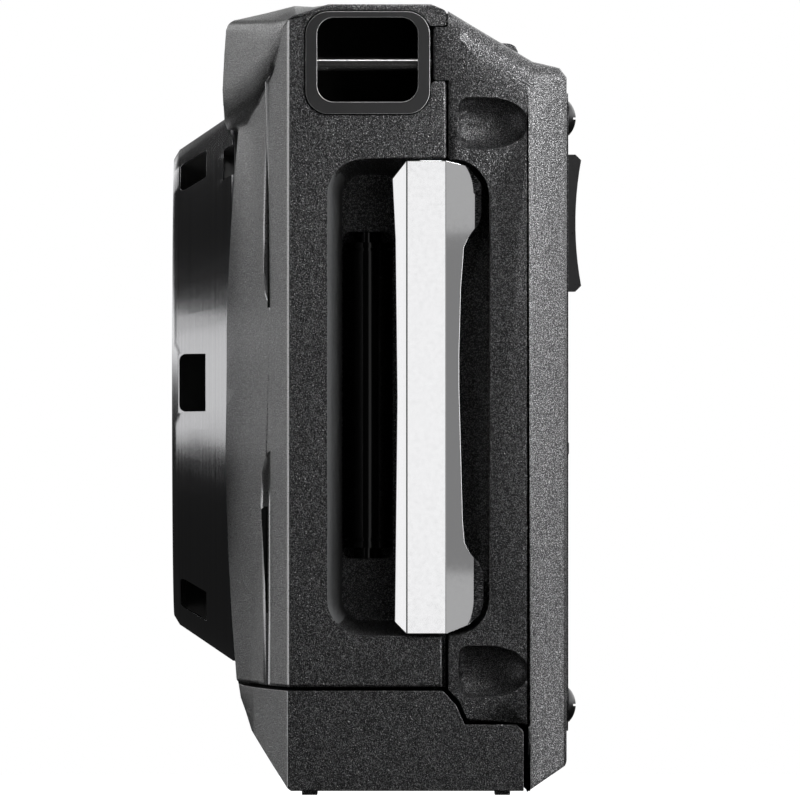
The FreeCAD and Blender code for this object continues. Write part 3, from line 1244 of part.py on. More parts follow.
def make_door_lock():
    """The lock's slider: a ribbed thumb plate under the door, its stem and its tongue."""
    body = new_body("door_lock_slider")
    half = S.slider_wide / 2
    high_y = slider_low_y + S.slider_long
    prism(body, PLAN, S.under_z + 0.15, S.under_z + 0.85, round_box(
        S.slider_x - half, S.slider_x + half, slider_low_y, high_y, size(0.7)))
    for step in (1, 2, 3):
        low_y = slider_low_y + 0.8 + step * 1.2
        prism(body, PLAN, S.under_z + 0.02, S.under_z + 0.3, box_points(
            S.slider_x - half + 0.7, S.slider_x + half - 0.7, low_y, low_y + 0.5))
    prism(body, PLAN, S.under_z + 0.8, door_floor_z + 0.1, box_points(
        S.slider_x - 0.8, S.slider_x + 0.8, slider_low_y + 2, high_y - 2))
    prism(body, PLAN, door_floor_z + 0.08, door_floor_z + 0.8, box_points(
        S.slider_x - 2, S.slider_x + 2, slider_low_y + 1.2, high_y - 1.2))
    prism(body, SIDE, S.slider_x - 0.9, S.slider_x + 0.9, [
        (slider_low_y + 1.2, door_floor_z + 0.5), (slider_low_y + 3, door_floor_z + 0.5),
        (slider_low_y + 3, S.door_top_z - 2.4), (slider_low_y + 4.2, S.door_top_z - 2.4),
        (slider_low_y + 3.6, S.door_top_z - 1), (slider_low_y + 1.8, S.door_top_z - 1),
    ])


def make_battery_bay():
    """The bay that holds the battery, the card and the cable socket, open at its mouth under the floor."""
    body = new_body("battery_bay")
    prism(body, PLAN, S.bay_low_z, S.bay_high_z, box_points(
        S.bay_x, S.bay_end_x, S.bay_front_y, S.bay_back_y))
    prism(body, PLAN, S.bay_low_z - 1, S.bay_low_z + 0.3 + S.battery_tall + 0.4, box_points(
        S.bay_end_x - S.bay_wall - S.battery_wide - 0.3, S.bay_end_x - S.bay_wall,
        S.bay_front_y + S.bay_wall, S.bay_front_y + S.bay_wall + S.battery_thick + 0.3), cut=True)
    prism(body, PLAN, S.bay_low_z - 1, S.bay_low_z + 0.3 + S.card_tall + 0.4, box_points(
        S.bay_x + S.bay_wall, S.bay_x + S.bay_wall + S.card_wide + 0.3,
        card_y - 0.15, card_y + S.card_thick + 0.15), cut=True)
    prism(body, PLAN, S.bay_low_z - 1, S.bay_low_z + 7.5, box_points(
        S.bay_end_x - S.bay_wall - 8.6, S.bay_end_x - S.bay_wall,
        card_y - 0.3, card_y + S.card_thick + 0.5), cut=True)
    battery = new_body("battery")
    prism(battery, PLAN, S.bay_low_z + 0.3, S.bay_low_z + 0.3 + S.battery_tall, round_box(
        S.bay_end_x - S.bay_wall - 0.15 - S.battery_wide, S.bay_end_x - S.bay_wall - 0.15,
        S.bay_front_y + S.bay_wall + 0.15, S.bay_front_y + S.bay_wall + 0.15 + S.battery_thick, size(1.2)))
    for step in range(3):
        low_x = S.bay_end_x - S.bay_wall - 12 - 3.2 * step
        battery_top_z = S.bay_low_z + 0.2 + S.battery_tall
        prism(battery, PLAN, battery_top_z, battery_top_z + 0.2, box_points(
            low_x, low_x + 2, S.bay_front_y + S.bay_wall + 2.5, S.bay_front_y + S.bay_wall + 5))
    card = new_body("memory_card")
    low_z = S.bay_low_z + 0.3
    left = S.bay_x + S.bay_wall + 0.15
    prism(card, FRONT, card_y, card_y + S.card_thick, [
        (left, low_z), (left + S.card_wide, low_z), (left + S.card_wide, low_z + S.card_tall),
        (left + 4, low_z + S.card_tall), (left, low_z + S.card_tall - 4),
    ])
    prism(card, FRONT, card_y - 1, card_y + 0.3, box_points(
        left + 2.5, left + S.card_wide - 2.5, low_z + 2, low_z + 2.8), cut=True)
    socket = new_body("usb_socket")
    middle_x = S.bay_end_x - S.bay_wall - 4.3
    prism(socket, PLAN, S.bay_low_z + 0.4, S.bay_low_z + 7.2, round_box(
        middle_x - 4.15, middle_x + 4.15, card_y - 0.2, card_y + S.card_thick + 0.4, size(1.2)))
    prism(socket, PLAN, S.bay_low_z - 1, S.bay_low_z + 6, round_box(
        middle_x - 3.8, middle_x + 3.8, card_y + 0.15, card_y + S.card_thick + 0.05, size(0.85)), cut=True)
    prism(socket, PLAN, S.bay_low_z + 1, S.bay_low_z + 6.5, box_points(
        middle_x - 3, middle_x + 3, card_y + 0.8, card_y + 1.4))


def make_door_gasket():
    """The rubber ring that seals the mouth of the battery bay against the door."""
    body = new_body("door_gasket")
    prism(body, PLAN, door_floor_z + 0.02, S.bay_low_z - 0.1, round_box(
        door_wall_x + 0.3, S.bay_end_x + 0.6, S.bay_front_y - 0.4, S.bay_back_y + 0.6, size(1.5)))
    prism(body, PLAN, door_floor_z - 1, S.bay_low_z + 1, round_box(
        door_wall_x + 0.3 + S.gasket_wide, S.bay_end_x + 0.6 - S.gasket_wide,
        S.bay_front_y - 0.4 + S.gasket_wide, S.bay_back_y + 0.6 - S.gasket_wide, size(0.6)), cut=True)


def make_shell_gasket():
    """The seal in the joint between the two shells."""
    body = new_body("shell_gasket")
    prism(body, FRONT, S.split_y - 0.85, rear_y - 0.02, seal_outline(0))


def ring_sector(inner, outer, middle_angle, spread, shrink):
    """A sector of a ring about the control pad's middle."""
    first = math.radians(middle_angle - spread / 2)
    last = math.radians(middle_angle + spread / 2)
    across = shrink

    def at(radius, angle, side):
        return (S.keys_x + radius * math.cos(angle) - side * across * math.sin(angle),
                S.keys_z + radius * math.sin(angle) + side * across * math.cos(angle))

    return [at(inner, first, 1), at(outer, first, 1) + (outer,), at(outer, last, -1),
            at(inner, last, -1) + (-inner,)]


def make_back_plate():
    """The raised plate on the back, with the screen's window and the openings for the buttons."""
    body = new_body("back_plate")
    prism(body, FRONT, plate_floor_y, S.plate_y, round_box(
        -S.plate_half, S.plate_half, S.plate_low_z, S.plate_high_z, S.plate_round))
    window = box_points(S.screen_x - S.screen_wide / 2, S.screen_x + S.screen_wide / 2,
                        S.screen_z - S.screen_tall / 2, S.screen_z + S.screen_tall / 2)
    wide = S.screen_wide / 2 - 1.6
    tall = S.screen_tall / 2 - 1.6
    prism(body, FRONT, S.plate_y - S.screen_thick - 0.05, S.plate_y + 1, window, cut=True)
    prism(body, FRONT, plate_floor_y - 1, S.plate_y, box_points(
        S.screen_x - wide, S.screen_x + wide, S.screen_z - tall, S.screen_z + tall), cut=True)
    for x, z in small_buttons().values():
        disc(body, FRONT, plate_floor_y - 1, S.plate_y + 1, x, z, S.button_radius + S.key_gap, cut=True)
    disc(body, FRONT, plate_floor_y - 1, S.plate_y + 1, S.keys_x, S.keys_z, S.key_out + S.key_gap, cut=True)
    prism(body, FRONT, plate_floor_y - 1, S.plate_y + 1, box_points(
        S.rocker_x - S.rocker_wide / 2 - S.key_gap, S.rocker_x + S.rocker_wide / 2 + S.key_gap,
        S.rocker_z - S.rocker_tall / 2 - S.key_gap, S.rocker_z + S.rocker_tall / 2 + S.key_gap), cut=True)
    discs(body, FRONT, plate_floor_y - 1, S.plate_y + 1, screw_places(), S.screw_shank + 0.1, cut=True)
    for side in (-1, 1):
        near_x = S.rocker_x + side * (S.rocker_wide / 2 + 0.45)
        far_x = S.rocker_x + side * (S.rocker_wide / 2 + 1.35)
        low_x, high_x = (near_x, far_x) if side > 0 else (far_x, near_x)
        prism(body, SIDE, low_x, high_x, box_points(
            rocker_axis_y - 0.75, plate_floor_y + 0.2, S.rocker_z - 1.1, S.rocker_z + 1.1))
        disc(body, SIDE, low_x - 0.3, high_x + 0.3, rocker_axis_y, S.rocker_z, S.rocker_pin + 0.03, cut=True)
    glass = new_body("lcd_window")
    prism(glass, FRONT, S.plate_y - S.screen_thick, S.plate_y - 0.03, box_points(
        S.screen_x - S.screen_wide / 2 + 0.1, S.screen_x + S.screen_wide / 2 - 0.1,
        S.screen_z - S.screen_tall / 2 + 0.1, S.screen_z + S.screen_tall / 2 - 0.1))
    module = new_body("lcd_module")
    lcd_back_y = plate_floor_y - 0.15
    prism(module, FRONT, lcd_back_y - S.lcd_thick, lcd_back_y, box_points(
        S.screen_x - wide + 0.6, inner_end_x - 1.3, S.screen_z - tall + 3.2, S.screen_z + tall - 0.2))
    prism(module, FRONT, lcd_back_y - 0.05, lcd_back_y + 0.1, box_points(
        S.screen_x - wide + 1.6, inner_end_x - 2.3,
        S.screen_z - tall + 4.2, S.screen_z + tall - 1.2), cut=True)


def make_back_screws():
    """Four screws with domed, cross-slotted heads, through the back plate into the rear shell."""
    body = new_body("back_screws")
    dome = (S.screw_head * S.screw_head + S.screw_proud * S.screw_proud) / (2 * S.screw_proud)
    for x, z in screw_places():
        turned(body, z, [
            (plate_floor_y - 3.6, 0), (plate_floor_y - 3.6, S.screw_shank),
            (S.plate_y + 0.02, S.screw_shank), (S.plate_y + 0.02, S.screw_head),
            (S.plate_y + 0.08, S.screw_head, -dome), (S.plate_y + 0.08 + S.screw_proud, 0),
        ], axis_x=x)
    for x, z in screw_places():
        for wide, tall in ((0.95, S.screw_slot), (S.screw_slot, 0.95)):
            prism(body, FRONT, S.plate_y + 0.42, S.plate_y + 2, box_points(
                x - wide, x + wide, z - tall, z + tall), cut=True)


def small_buttons():
    """The X and Z of the four small back buttons."""
    left = S.keys_x + S.key_out - 2.4
    right = S.keys_x - S.key_out + 2.4
    return {
        "movie_button": (left, S.upper_row_z),
        "playback_button": (right + 5.2, S.upper_row_z + 4.2),
        "menu_button": (left, S.lower_row_z),
        "delete_button": (right, S.lower_row_z),
    }


def make_back_buttons():
    """The small round buttons, the four arrow keys and the middle key, with their flanges and rubber mat."""
    for name, (x, z) in small_buttons().items():
        body = new_body(name)
        disc(body, FRONT, flange_y, flange_back_y, x, z, S.button_radius + 0.85)
        disc(body, FRONT, flange_back_y - 0.1, key_back_y, x, z, S.button_radius)
        dress(body, "Chamfer", size(0.2), lambda edge: near(edge.CenterOfMass.y, key_back_y))
    for name, angle in (("right", 180), ("up", 90), ("left", 0), ("down", -90)):
        body = new_body(f"arrow_key_{name}")
        prism(body, FRONT, flange_y, flange_back_y, ring_sector(
            S.key_in + S.key_gap, S.key_out + 0.9, angle, 90, S.key_gap / 2 + 0.1))
        prism(body, FRONT, flange_back_y - 0.1, key_back_y, ring_sector(
            S.key_in + S.key_gap, S.key_out, angle, 90, S.key_gap / 2 + 0.1))
        middle = math.radians(angle)
        disc(body, FRONT, key_back_y - 0.05, key_back_y + 0.15,
             S.keys_x + 6.9 * math.cos(middle), S.keys_z + 6.9 * math.sin(middle), size(0.5))
    body = new_body("ok_button")
    disc(body, FRONT, flange_y, key_back_y + 0.1, S.keys_x, S.keys_z, S.key_in)
    dress(body, "Chamfer", size(0.25), lambda edge: near(edge.CenterOfMass.y, key_back_y + 0.1))
    mat = new_body("key_mat")
    prism(mat, FRONT, mat_y, mat_back_y, [
        (S.keys_x - S.key_out - 4, S.lower_row_z - 3.6), (keypad_edge_x - 0.5, S.lower_row_z - 3.6),
        (keypad_edge_x - 0.5, S.rocker_z + S.rocker_tall / 2),
        (S.rocker_x + S.rocker_wide / 2 + 2, S.rocker_z + S.rocker_tall / 2),
        (S.rocker_x + S.rocker_wide / 2 + 2, S.rocker_z - 1.4), (S.keys_x - S.key_out - 4, S.rocker_z - 1.4),
    ])
    board = new_body("control_board")
    prism(board, FRONT, control_y, mat_y - 0.02, box_points(
        S.keys_x - S.key_out - 4, keypad_edge_x - 0.5, S.lower_row_z - 3.6, S.rocker_z + S.rocker_tall / 2))


def make_zoom_rocker():
    """The saddle-shaped zoom rocker and the pin that it rocks on."""
    body = new_body("zoom_rocker")
    low = S.rocker_z - S.rocker_tall / 2
    high = S.rocker_z + S.rocker_tall / 2
    out_y = S.plate_y + S.rocker_proud
    chord = S.rocker_tall - 1
    dip = (chord * chord / 4 + S.rocker_dip * S.rocker_dip) / (2 * S.rocker_dip)
    foot_y = plate_floor_y - 0.2
    prism(body, SIDE, S.rocker_x - S.rocker_wide / 2, S.rocker_x + S.rocker_wide / 2, [
        (foot_y, low), (out_y - 0.5, low), (out_y, low + 0.5, -dip), (out_y, high - 0.5),
        (out_y - 0.5, high), (foot_y, high),
    ])
    prism(body, SIDE, S.rocker_x - S.rocker_wide / 2 + 0.4, S.rocker_x + S.rocker_wide / 2 - 0.4, box_points(
        rocker_axis_y - 0.7, plate_floor_y, S.rocker_z - 1, S.rocker_z + 1))
    disc(body, SIDE, S.rocker_x - S.rocker_wide / 2 - 1, S.rocker_x + S.rocker_wide / 2 + 1,
         rocker_axis_y, S.rocker_z, S.rocker_pin + 0.05, cut=True)
    pin = new_body("rocker_pin")
    disc(pin, SIDE, S.rocker_x - S.rocker_wide / 2 - 1.3, S.rocker_x + S.rocker_wide / 2 + 1.3,
         rocker_axis_y, S.rocker_z, S.rocker_pin)


def make_top_buttons():
    """The shutter button and the power button, with flanges under the casing's top, a mat and its board."""
    flange_high_z = cavity_top_z - 0.1
    flange_low_z = flange_high_z - 0.8
    shutter = new_body("shutter_button")
    half = S.shutter_half
    side = S.top_key_half
    prism(shutter, PLAN, flange_low_z, flange_high_z, box_points(
        S.shutter_x - half - 1, S.shutter_x + half + 1, S.top_key_y - side - 0.8, S.top_key_y + side + 0.8))
    prism(shutter, PLAN, flange_high_z - 0.1, S.top_z + S.top_proud, round_box(
        S.shutter_x - half, S.shutter_x + half, S.top_key_y - side, S.top_key_y + side, side - 0.3))
    power = new_body("power_button")
    disc(power, PLAN, flange_low_z, flange_high_z, S.power_x, S.top_key_y, S.power_radius + 0.9)
    disc(power, PLAN, flange_high_z - 0.1, S.top_z + S.top_proud - 0.2,
         S.power_x, S.top_key_y, S.power_radius)
    mat_top_z = flange_low_z - S.top_travel - 0.05
    mat = new_body("top_key_mat")
    reach = box_points(S.shutter_x - half - 1.5, S.power_x + S.power_radius + 2,
                       S.top_key_y - side - 1, S.top_key_y + side + 1)
    prism(mat, PLAN, mat_top_z - S.mat_thick, mat_top_z, reach)


def make_folded_lens():
    """The folded lens: housing, front element, prism, two moving groups on rods, screws, motors, sensor."""
    housing = new_body("lens_housing")
    low_z = S.lens_z - S.housing_half
    high_z = S.lens_z + S.housing_half
    wall = S.housing_wall
    prism(housing, SIDE, S.housing_x, S.housing_end_x, box_points(
        S.housing_front_y, S.housing_back_y, low_z, high_z))
    prism(housing, SIDE, S.housing_x + wall, S.housing_end_x - wall, box_points(
        S.housing_front_y + wall, S.housing_back_y - wall, low_z + wall, high_z - wall), cut=True)
    disc(housing, FRONT, cavity_y + 0.3, S.housing_front_y, 0, S.lens_z, S.snout_radius)
    disc(housing, FRONT, cavity_y - 1, S.housing_front_y + wall + 1, 0, S.lens_z,
         S.front_glass + 0.1, cut=True)
    slot_out = S.zoom_at_x + 1
    prism(housing, PLAN, high_z - wall - 1, high_z + 1, box_points(
        slot_out - S.zoom_travel - S.group_thick - 2, slot_out, group_y - 2, group_y + 2), cut=True)
    slot_out = S.focus_at_x + 1
    prism(housing, PLAN, low_z - 1, low_z + wall + 1, box_points(
        slot_out - S.focus_travel - S.group_thick - 2, slot_out, group_y - 2, group_y + 2), cut=True)
    front = new_body("front_element")
    turned(front, S.lens_z, [
        (cavity_y + 0.5, 0), (cavity_y + 3.4, 0), (cavity_y + 3.4, S.front_glass),
        (cavity_y + 1.6, S.front_glass, (S.front_glass * S.front_glass + 1.1 * 1.1) / 2.2),
    ])
    prism_glass = new_body("prism")
    side = S.prism_side
    near_y = S.housing_front_y + wall + 0.05
    prism(prism_glass, PLAN, S.lens_z - side / 2, S.lens_z + side / 2, [
        (-side / 2, near_y), (side / 2, near_y), (side / 2, near_y + 0.6),
        (-side / 2 + 0.6, near_y + side), (-side / 2, near_y + side),
    ])
    for name, at_x, arm, travel in (
        ("zoom", S.zoom_at_x, 1, S.zoom_travel), ("focus", S.focus_at_x, -1, S.focus_travel),
    ):
        group = new_body(f"{name}_group")
        lead_z = S.lens_z + arm * (S.housing_half + S.lead_lift)
        low_x = at_x - S.group_thick
        prism(group, SIDE, low_x, at_x, round_box(
            group_y - S.group_radius, group_y + S.group_radius - 0.6,
            S.lens_z - S.rod_offset - 0.9, S.lens_z + S.rod_offset + 0.9, size(1)))
        tip_z = lead_z + arm * 1.6
        arm_low = S.lens_z + S.rod_offset if arm > 0 else tip_z
        arm_high = tip_z if arm > 0 else S.lens_z - S.rod_offset
        prism(group, SIDE, low_x + 0.4, at_x - 0.4, box_points(
            group_y - 1.6, group_y + 1.6, arm_low, arm_high))
        turned(group, S.lens_z, [
            (group_y - S.group_radius - 0.4, 0), (group_y - S.group_radius + 0.5, 0),
            (group_y - S.group_radius + 0.5, 1), (group_y - S.group_radius - 0.4, 1),
        ], axis_x=at_x - S.group_thick / 2)
        for side_z in (S.lens_z - S.rod_offset, S.lens_z + S.rod_offset):
            disc(group, SIDE, low_x - 1, at_x + 1, group_y, side_z, S.rod_radius + S.rod_fit, cut=True)
        disc(group, SIDE, low_x - 1, at_x + 1, group_y, lead_z, S.lead_radius + S.rod_fit, cut=True)
        disc(group, SIDE, low_x - 0.5, low_x + 0.4, group_y, S.lens_z, S.group_radius - 1)
        disc(group, SIDE, at_x - 0.4, at_x + 0.5, group_y, S.lens_z, S.group_radius - 1)
        screw = new_body(f"{name}_lead_screw")
        near_x = at_x + 1.4
        disc(screw, SIDE, low_x - travel - 1.5, near_x + 0.5, group_y, lead_z, S.lead_radius)
        disc(screw, SIDE, near_x, near_x + 0.5, group_y, lead_z, S.lead_radius + 0.5)
        motor = new_body(f"{name}_motor")
        disc(motor, SIDE, near_x + 0.6, near_x + 0.6 + S.motor_long, group_y, lead_z, S.motor_radius)
    rods = new_body("guide_rods")
    for side_z in (S.lens_z - S.rod_offset, S.lens_z + S.rod_offset):
        disc(rods, SIDE, S.housing_x + wall + 0.05, S.housing_end_x - wall - 0.05,
             group_y, side_z, S.rod_radius)
    sensor = new_body("image_sensor")
    prism(sensor, SIDE, S.housing_x + wall + 0.1, S.housing_x + wall + 0.1 + S.board_thick, box_points(
        S.housing_front_y + wall + 0.3, S.housing_back_y - wall - 0.3, S.lens_z - 5.6, S.lens_z + 5.6))
    prism(sensor, SIDE, S.housing_x + wall + 0.1, S.housing_x + wall + 1.9, box_points(
        group_y - 3.3, group_y + 3.3, S.lens_z - 4, S.lens_z + 4))


# the chips on the main board: X and Z of the middle, width, height
CHIPS = [(-30, 20, 10, 10), (-14, 20, 7, 9), (-44, 44, 6, 6), (-8, 48, 8, 5), (-28, 46, 9, 6)]


def make_chassis():
    """The metal plate that the boards, the screen and the key mats are mounted on."""
    body = new_body("chassis_plate")
    low_z = bay_floor_z + 1.4
    high_z = S.slope_z - 2.8
    left = -S.end_x + S.wall + 0.3
    prism(body, FRONT, S.chassis_y, chassis_back_y, box_points(left, inner_end_x - 0.3, low_z, high_z))
    boss_high = plate_floor_y - 0.15 - S.lcd_thick - 0.05
    discs(body, FRONT, chassis_back_y - 0.1, boss_high, [
        (S.screen_x - 24, S.screen_z - 14), (S.screen_x + 24, S.screen_z - 14),
        (S.screen_x - 24, S.screen_z + 14), (S.screen_x + 24, S.screen_z + 14)], size(1.2))
    discs(body, FRONT, chassis_back_y - 0.1, control_y - 0.05, [
        (S.keys_x - 8, S.keys_z - 8), (S.keys_x + 8, S.keys_z - 8),
        (S.keys_x - 8, S.keys_z + 8), (S.keys_x + 8, S.keys_z + 8)], size(1.2))
    discs(body, FRONT, S.board_y + S.board_thick + 0.05, S.chassis_y + 0.1, [
        (S.keys_x - 12, S.keys_z - 8), (S.keys_x + 12, S.keys_z - 8),
        (S.keys_x - 12, S.keys_z + 14), (S.keys_x + 12, S.keys_z + 14)], size(1.2))
    shelf_high = cavity_top_z - 0.9 - S.top_travel - 0.05 - S.mat_thick - 0.03
    prism(body, SIDE, S.shutter_x - S.shutter_half - 1.5, S.power_x + S.power_radius + 2, [
        (S.top_key_y - S.top_key_half - 1, shelf_high - S.chassis_thick),
        (S.chassis_y, shelf_high - S.chassis_thick), (S.chassis_y, high_z - 2),
        (chassis_back_y, high_z - 2), (chassis_back_y, shelf_high - 0.7), (S.chassis_y, shelf_high),
        (S.top_key_y - S.top_key_half - 1, shelf_high),
    ])
    board = new_body("main_board")
    prism(board, FRONT, S.board_y, S.board_y + S.board_thick, box_points(
        left + 0.8, S.board_end_x, low_z + 1, high_z - 2))
    for x, z, wide, tall in CHIPS:
        prism(board, FRONT, S.board_y - 1.2, S.board_y, box_points(
            x - wide / 2, x + wide / 2, z - tall / 2, z + tall / 2))


def make_small_parts():
    """The tripod socket and the speaker."""
    socket = new_body("tripod_socket")
    outer = S.tripod_radius + S.tripod_wall
    disc(socket, PLAN, S.under_z + 0.1, S.under_z + S.tripod_deep + 1.2, S.tripod_x, S.tripod_y, outer)
    disc(socket, PLAN, S.under_z + S.wall + 0.05, S.under_z + S.wall + 1.2,
         S.tripod_x, S.tripod_y, S.tripod_flange)
    disc(socket, PLAN, S.under_z - 1, S.under_z + 0.1 + S.tripod_deep, S.tripod_x, S.tripod_y,
         S.tripod_radius, cut=True)
    speaker = new_body("speaker")
    front_y = crown_at(S.keys_x - 5, S.wall) + 0.6
    disc(speaker, FRONT, front_y, front_y + 1.6, S.keys_x - 3, S.lens_z - 17.5, size(5))
    disc(speaker, FRONT, front_y + 1.6, front_y + 2.8, S.keys_x - 3, S.lens_z - 17.5, size(3.2))


def check_document():
    """Stops if any object of the document failed, or if a piece is not a valid solid."""
    doc.recompute()
    for item in doc.Objects:
        if "Invalid" in item.State or "Error" in item.State:
            raise ValueError(f"{item.Label} failed: {item.State}")
    for piece in nodes:
        if piece.Shape.isNull() or not piece.Shape.isValid() or not piece.Shape.Solids:
            raise ValueError(f"{piece.Label} is not a valid solid")


make_front_shell()
make_grip_pad()
make_rear_shell()
make_lens_ring()
make_light_ring()
make_led_board()
make_cover_glass()
make_flash()
make_focus_lamp()
make_guard_bar()
make_recess_barrel()
make_strap_lug()
make_battery_door()
make_door_lock()
make_battery_bay()
make_door_gasket()
make_shell_gasket()
make_back_plate()
make_back_screws()
make_back_buttons()
make_zoom_rocker()
make_top_buttons()
make_folded_lens()
make_chassis()
make_small_parts()
check_document()
for piece in nodes:
    print(piece.Label, len(piece.Shape.Solids), round(piece.Shape.Volume, 2))
    piece.Shape.exportStep(f"parts/{piece.Label}.step")
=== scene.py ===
"""The looks of the waterproof camera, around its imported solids."""
import json
import math

import bmesh
import bpy
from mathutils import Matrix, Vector

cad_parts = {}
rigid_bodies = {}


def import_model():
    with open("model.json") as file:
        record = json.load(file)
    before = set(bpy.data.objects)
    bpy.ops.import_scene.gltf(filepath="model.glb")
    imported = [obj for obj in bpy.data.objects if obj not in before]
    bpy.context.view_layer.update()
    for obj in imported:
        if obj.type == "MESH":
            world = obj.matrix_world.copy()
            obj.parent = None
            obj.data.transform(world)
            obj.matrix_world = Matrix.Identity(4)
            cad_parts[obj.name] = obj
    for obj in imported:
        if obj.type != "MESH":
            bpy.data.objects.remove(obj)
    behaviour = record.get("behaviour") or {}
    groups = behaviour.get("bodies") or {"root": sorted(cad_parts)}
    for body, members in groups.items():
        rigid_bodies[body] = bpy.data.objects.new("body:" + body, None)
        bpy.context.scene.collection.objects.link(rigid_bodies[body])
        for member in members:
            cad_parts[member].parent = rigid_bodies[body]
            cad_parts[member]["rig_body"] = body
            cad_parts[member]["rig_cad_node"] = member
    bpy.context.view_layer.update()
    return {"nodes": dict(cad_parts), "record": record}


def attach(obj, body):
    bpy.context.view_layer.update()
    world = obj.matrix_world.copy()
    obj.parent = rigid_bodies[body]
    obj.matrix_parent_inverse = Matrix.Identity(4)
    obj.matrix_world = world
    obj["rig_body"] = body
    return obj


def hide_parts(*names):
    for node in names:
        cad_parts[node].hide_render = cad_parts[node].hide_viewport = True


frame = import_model()
NODES = frame["nodes"]
SLOTS = {entry["node"]: entry["material_slot"] for entry in frame["record"]["subparts"]}
BODIES = frame["record"]["behaviour"]["bodies"]
BODY_OF = {node: body for body, members in BODIES.items() for node in members}
MM = 0.001
MM2 = MM * MM
# the lens ring in millimetres: its axis, its front edge, and the radius of its cone as slope * Y + start
LENS_Z = 33.9
RING_FRONT = 17.17
CONE_SLOPE = 3.1 / 4.57
CONE_START = 20.3 + RING_FRONT * CONE_SLOPE
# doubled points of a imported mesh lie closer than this, and the triangles of a flat face tilt less than this
WELD = 0.002 * MM
FLAT_TILT = math.radians(0.4)
# the stage: the floor lies low enough for the open door
FLOOR_Z = -0.05
FLOOR_RADIUS = 3
# the photograph's view: a long lens that looks straight at the end of the camera
LENS_MM = 1000
SENSOR_MM = 36
EYE_PLACE = (1.9, 0.00165, 0.0328)
EYE_NEAR = 0.01
EYE_FAR = 50


class Wire:
    """An output socket that takes part in sums."""

    def __init__(self, tree, socket):
        self.tree = tree
        self.socket = socket

    def math(self, operation, first, second):
        node = self.tree.nodes.new("ShaderNodeMath")
        node.operation = operation
        for slot, value in zip(node.inputs, (first, second)):
            if isinstance(value, Wire):
                self.tree.links.new(value.socket, slot)
            else:
                slot.default_value = value
        return Wire(self.tree, node.outputs[0])

    def __add__(self, other):
        return self.math("ADD", self, other)

    def __sub__(self, other):
        return self.math("SUBTRACT", self, other)

    def __rsub__(self, other):
        return self.math("SUBTRACT", other, self)

    def __mul__(self, other):
        return self.math("MULTIPLY", self, other)

    def __pow__(self, other):
        return self.math("POWER", self, other)

    __radd__ = __add__
    __rmul__ = __mul__


class Finish:
    """A material whose nodes are written as expressions."""

    def __init__(self, name, shader="ShaderNodeBsdfPrincipled", **constants):
        self.material = bpy.data.materials.new(name)
        self.material.use_nodes = True
        self.tree = self.material.node_tree
        self.tree.nodes.clear()
        self.out = self.tree.nodes.new("ShaderNodeOutputMaterial")
        self.shader = self.tree.nodes.new(shader)
        self.tree.links.new(self.shader.outputs[0], self.out.inputs["Surface"])
        self.feed(self.shader, {key.replace("_", " "): value for key, value in constants.items()})

    def feed(self, node, values):
        for key, value in values.items():
            socket = node.inputs[key]
            if isinstance(value, Wire):
                self.tree.links.new(value.socket, socket)
            elif hasattr(value, "__len__") and len(value) == 3 and socket.type == "RGBA":
                socket.default_value = (*value, 1)
            else:
                socket.default_value = value

    def node(self, kind, settings=None, values=None, output=0):
        """Any node: its settings are set first, then the values or links of its sockets."""
        node = self.tree.nodes.new("ShaderNode" + kind)
        for key, value in (settings or {}).items():
            if key == "stops":
                ramp = node.color_ramp
                while len(ramp.elements) < len(value):
                    ramp.elements.new(0.5)
                for element, (place, colour) in zip(ramp.elements, value):
                    element.position = place
                    element.color = (*colour, 1) if len(colour) == 3 else colour
            else:
                setattr(node, key, value)
        self.feed(node, values or {})
        return Wire(self.tree, node.outputs[output])

    def place(self):
        return self.node("TexCoord", output="Object")

    def axes(self):
        """The three object coordinates, in millimetres."""
        split = self.tree.nodes.new("ShaderNodeSeparateXYZ")
        self.tree.links.new(self.place().socket, split.inputs[0])
        return [Wire(self.tree, socket) * (1 / MM) for socket in split.outputs]

    def noise(self, scale, detail=2, rough=0.5, vector=None):
        return self.node("TexNoise", values={
            "Vector": vector or self.place(), "Scale": scale, "Detail": detail, "Roughness": rough})

    def ramp(self, value, *stops):
        return self.node("ValToRGB", {"stops": stops}, {"Fac": value})

    def number(self, value, low, high, to_low=0.0, to_high=1.0):
        return self.node("MapRange", values={
            "Value": value, "From Min": low, "From Max": high, "To Min": to_low, "To Max": to_high})

    def mix(self, factor, first, second):
        node = self.tree.nodes.new("ShaderNodeMix")
        node.data_type = "RGBA"
        for slot, value in ((node.inputs[0], factor), (node.inputs[6], first), (node.inputs[7], second)):
            if isinstance(value, Wire):
                self.tree.links.new(value.socket, slot)
            elif slot.type == "RGBA":
                slot.default_value = (*value, 1)
            else:
                slot.default_value = value
        return Wire(self.tree, node.outputs[2])

    def bump(self, height, strength, distance=0.05 * MM):
        return self.node("Bump", values={"Height": height, "Strength": strength, "Distance": distance})

    def surface(self, **values):
        self.feed(self.shader, {key.replace("_", " "): value for key, value in values.items()})
        return self.material


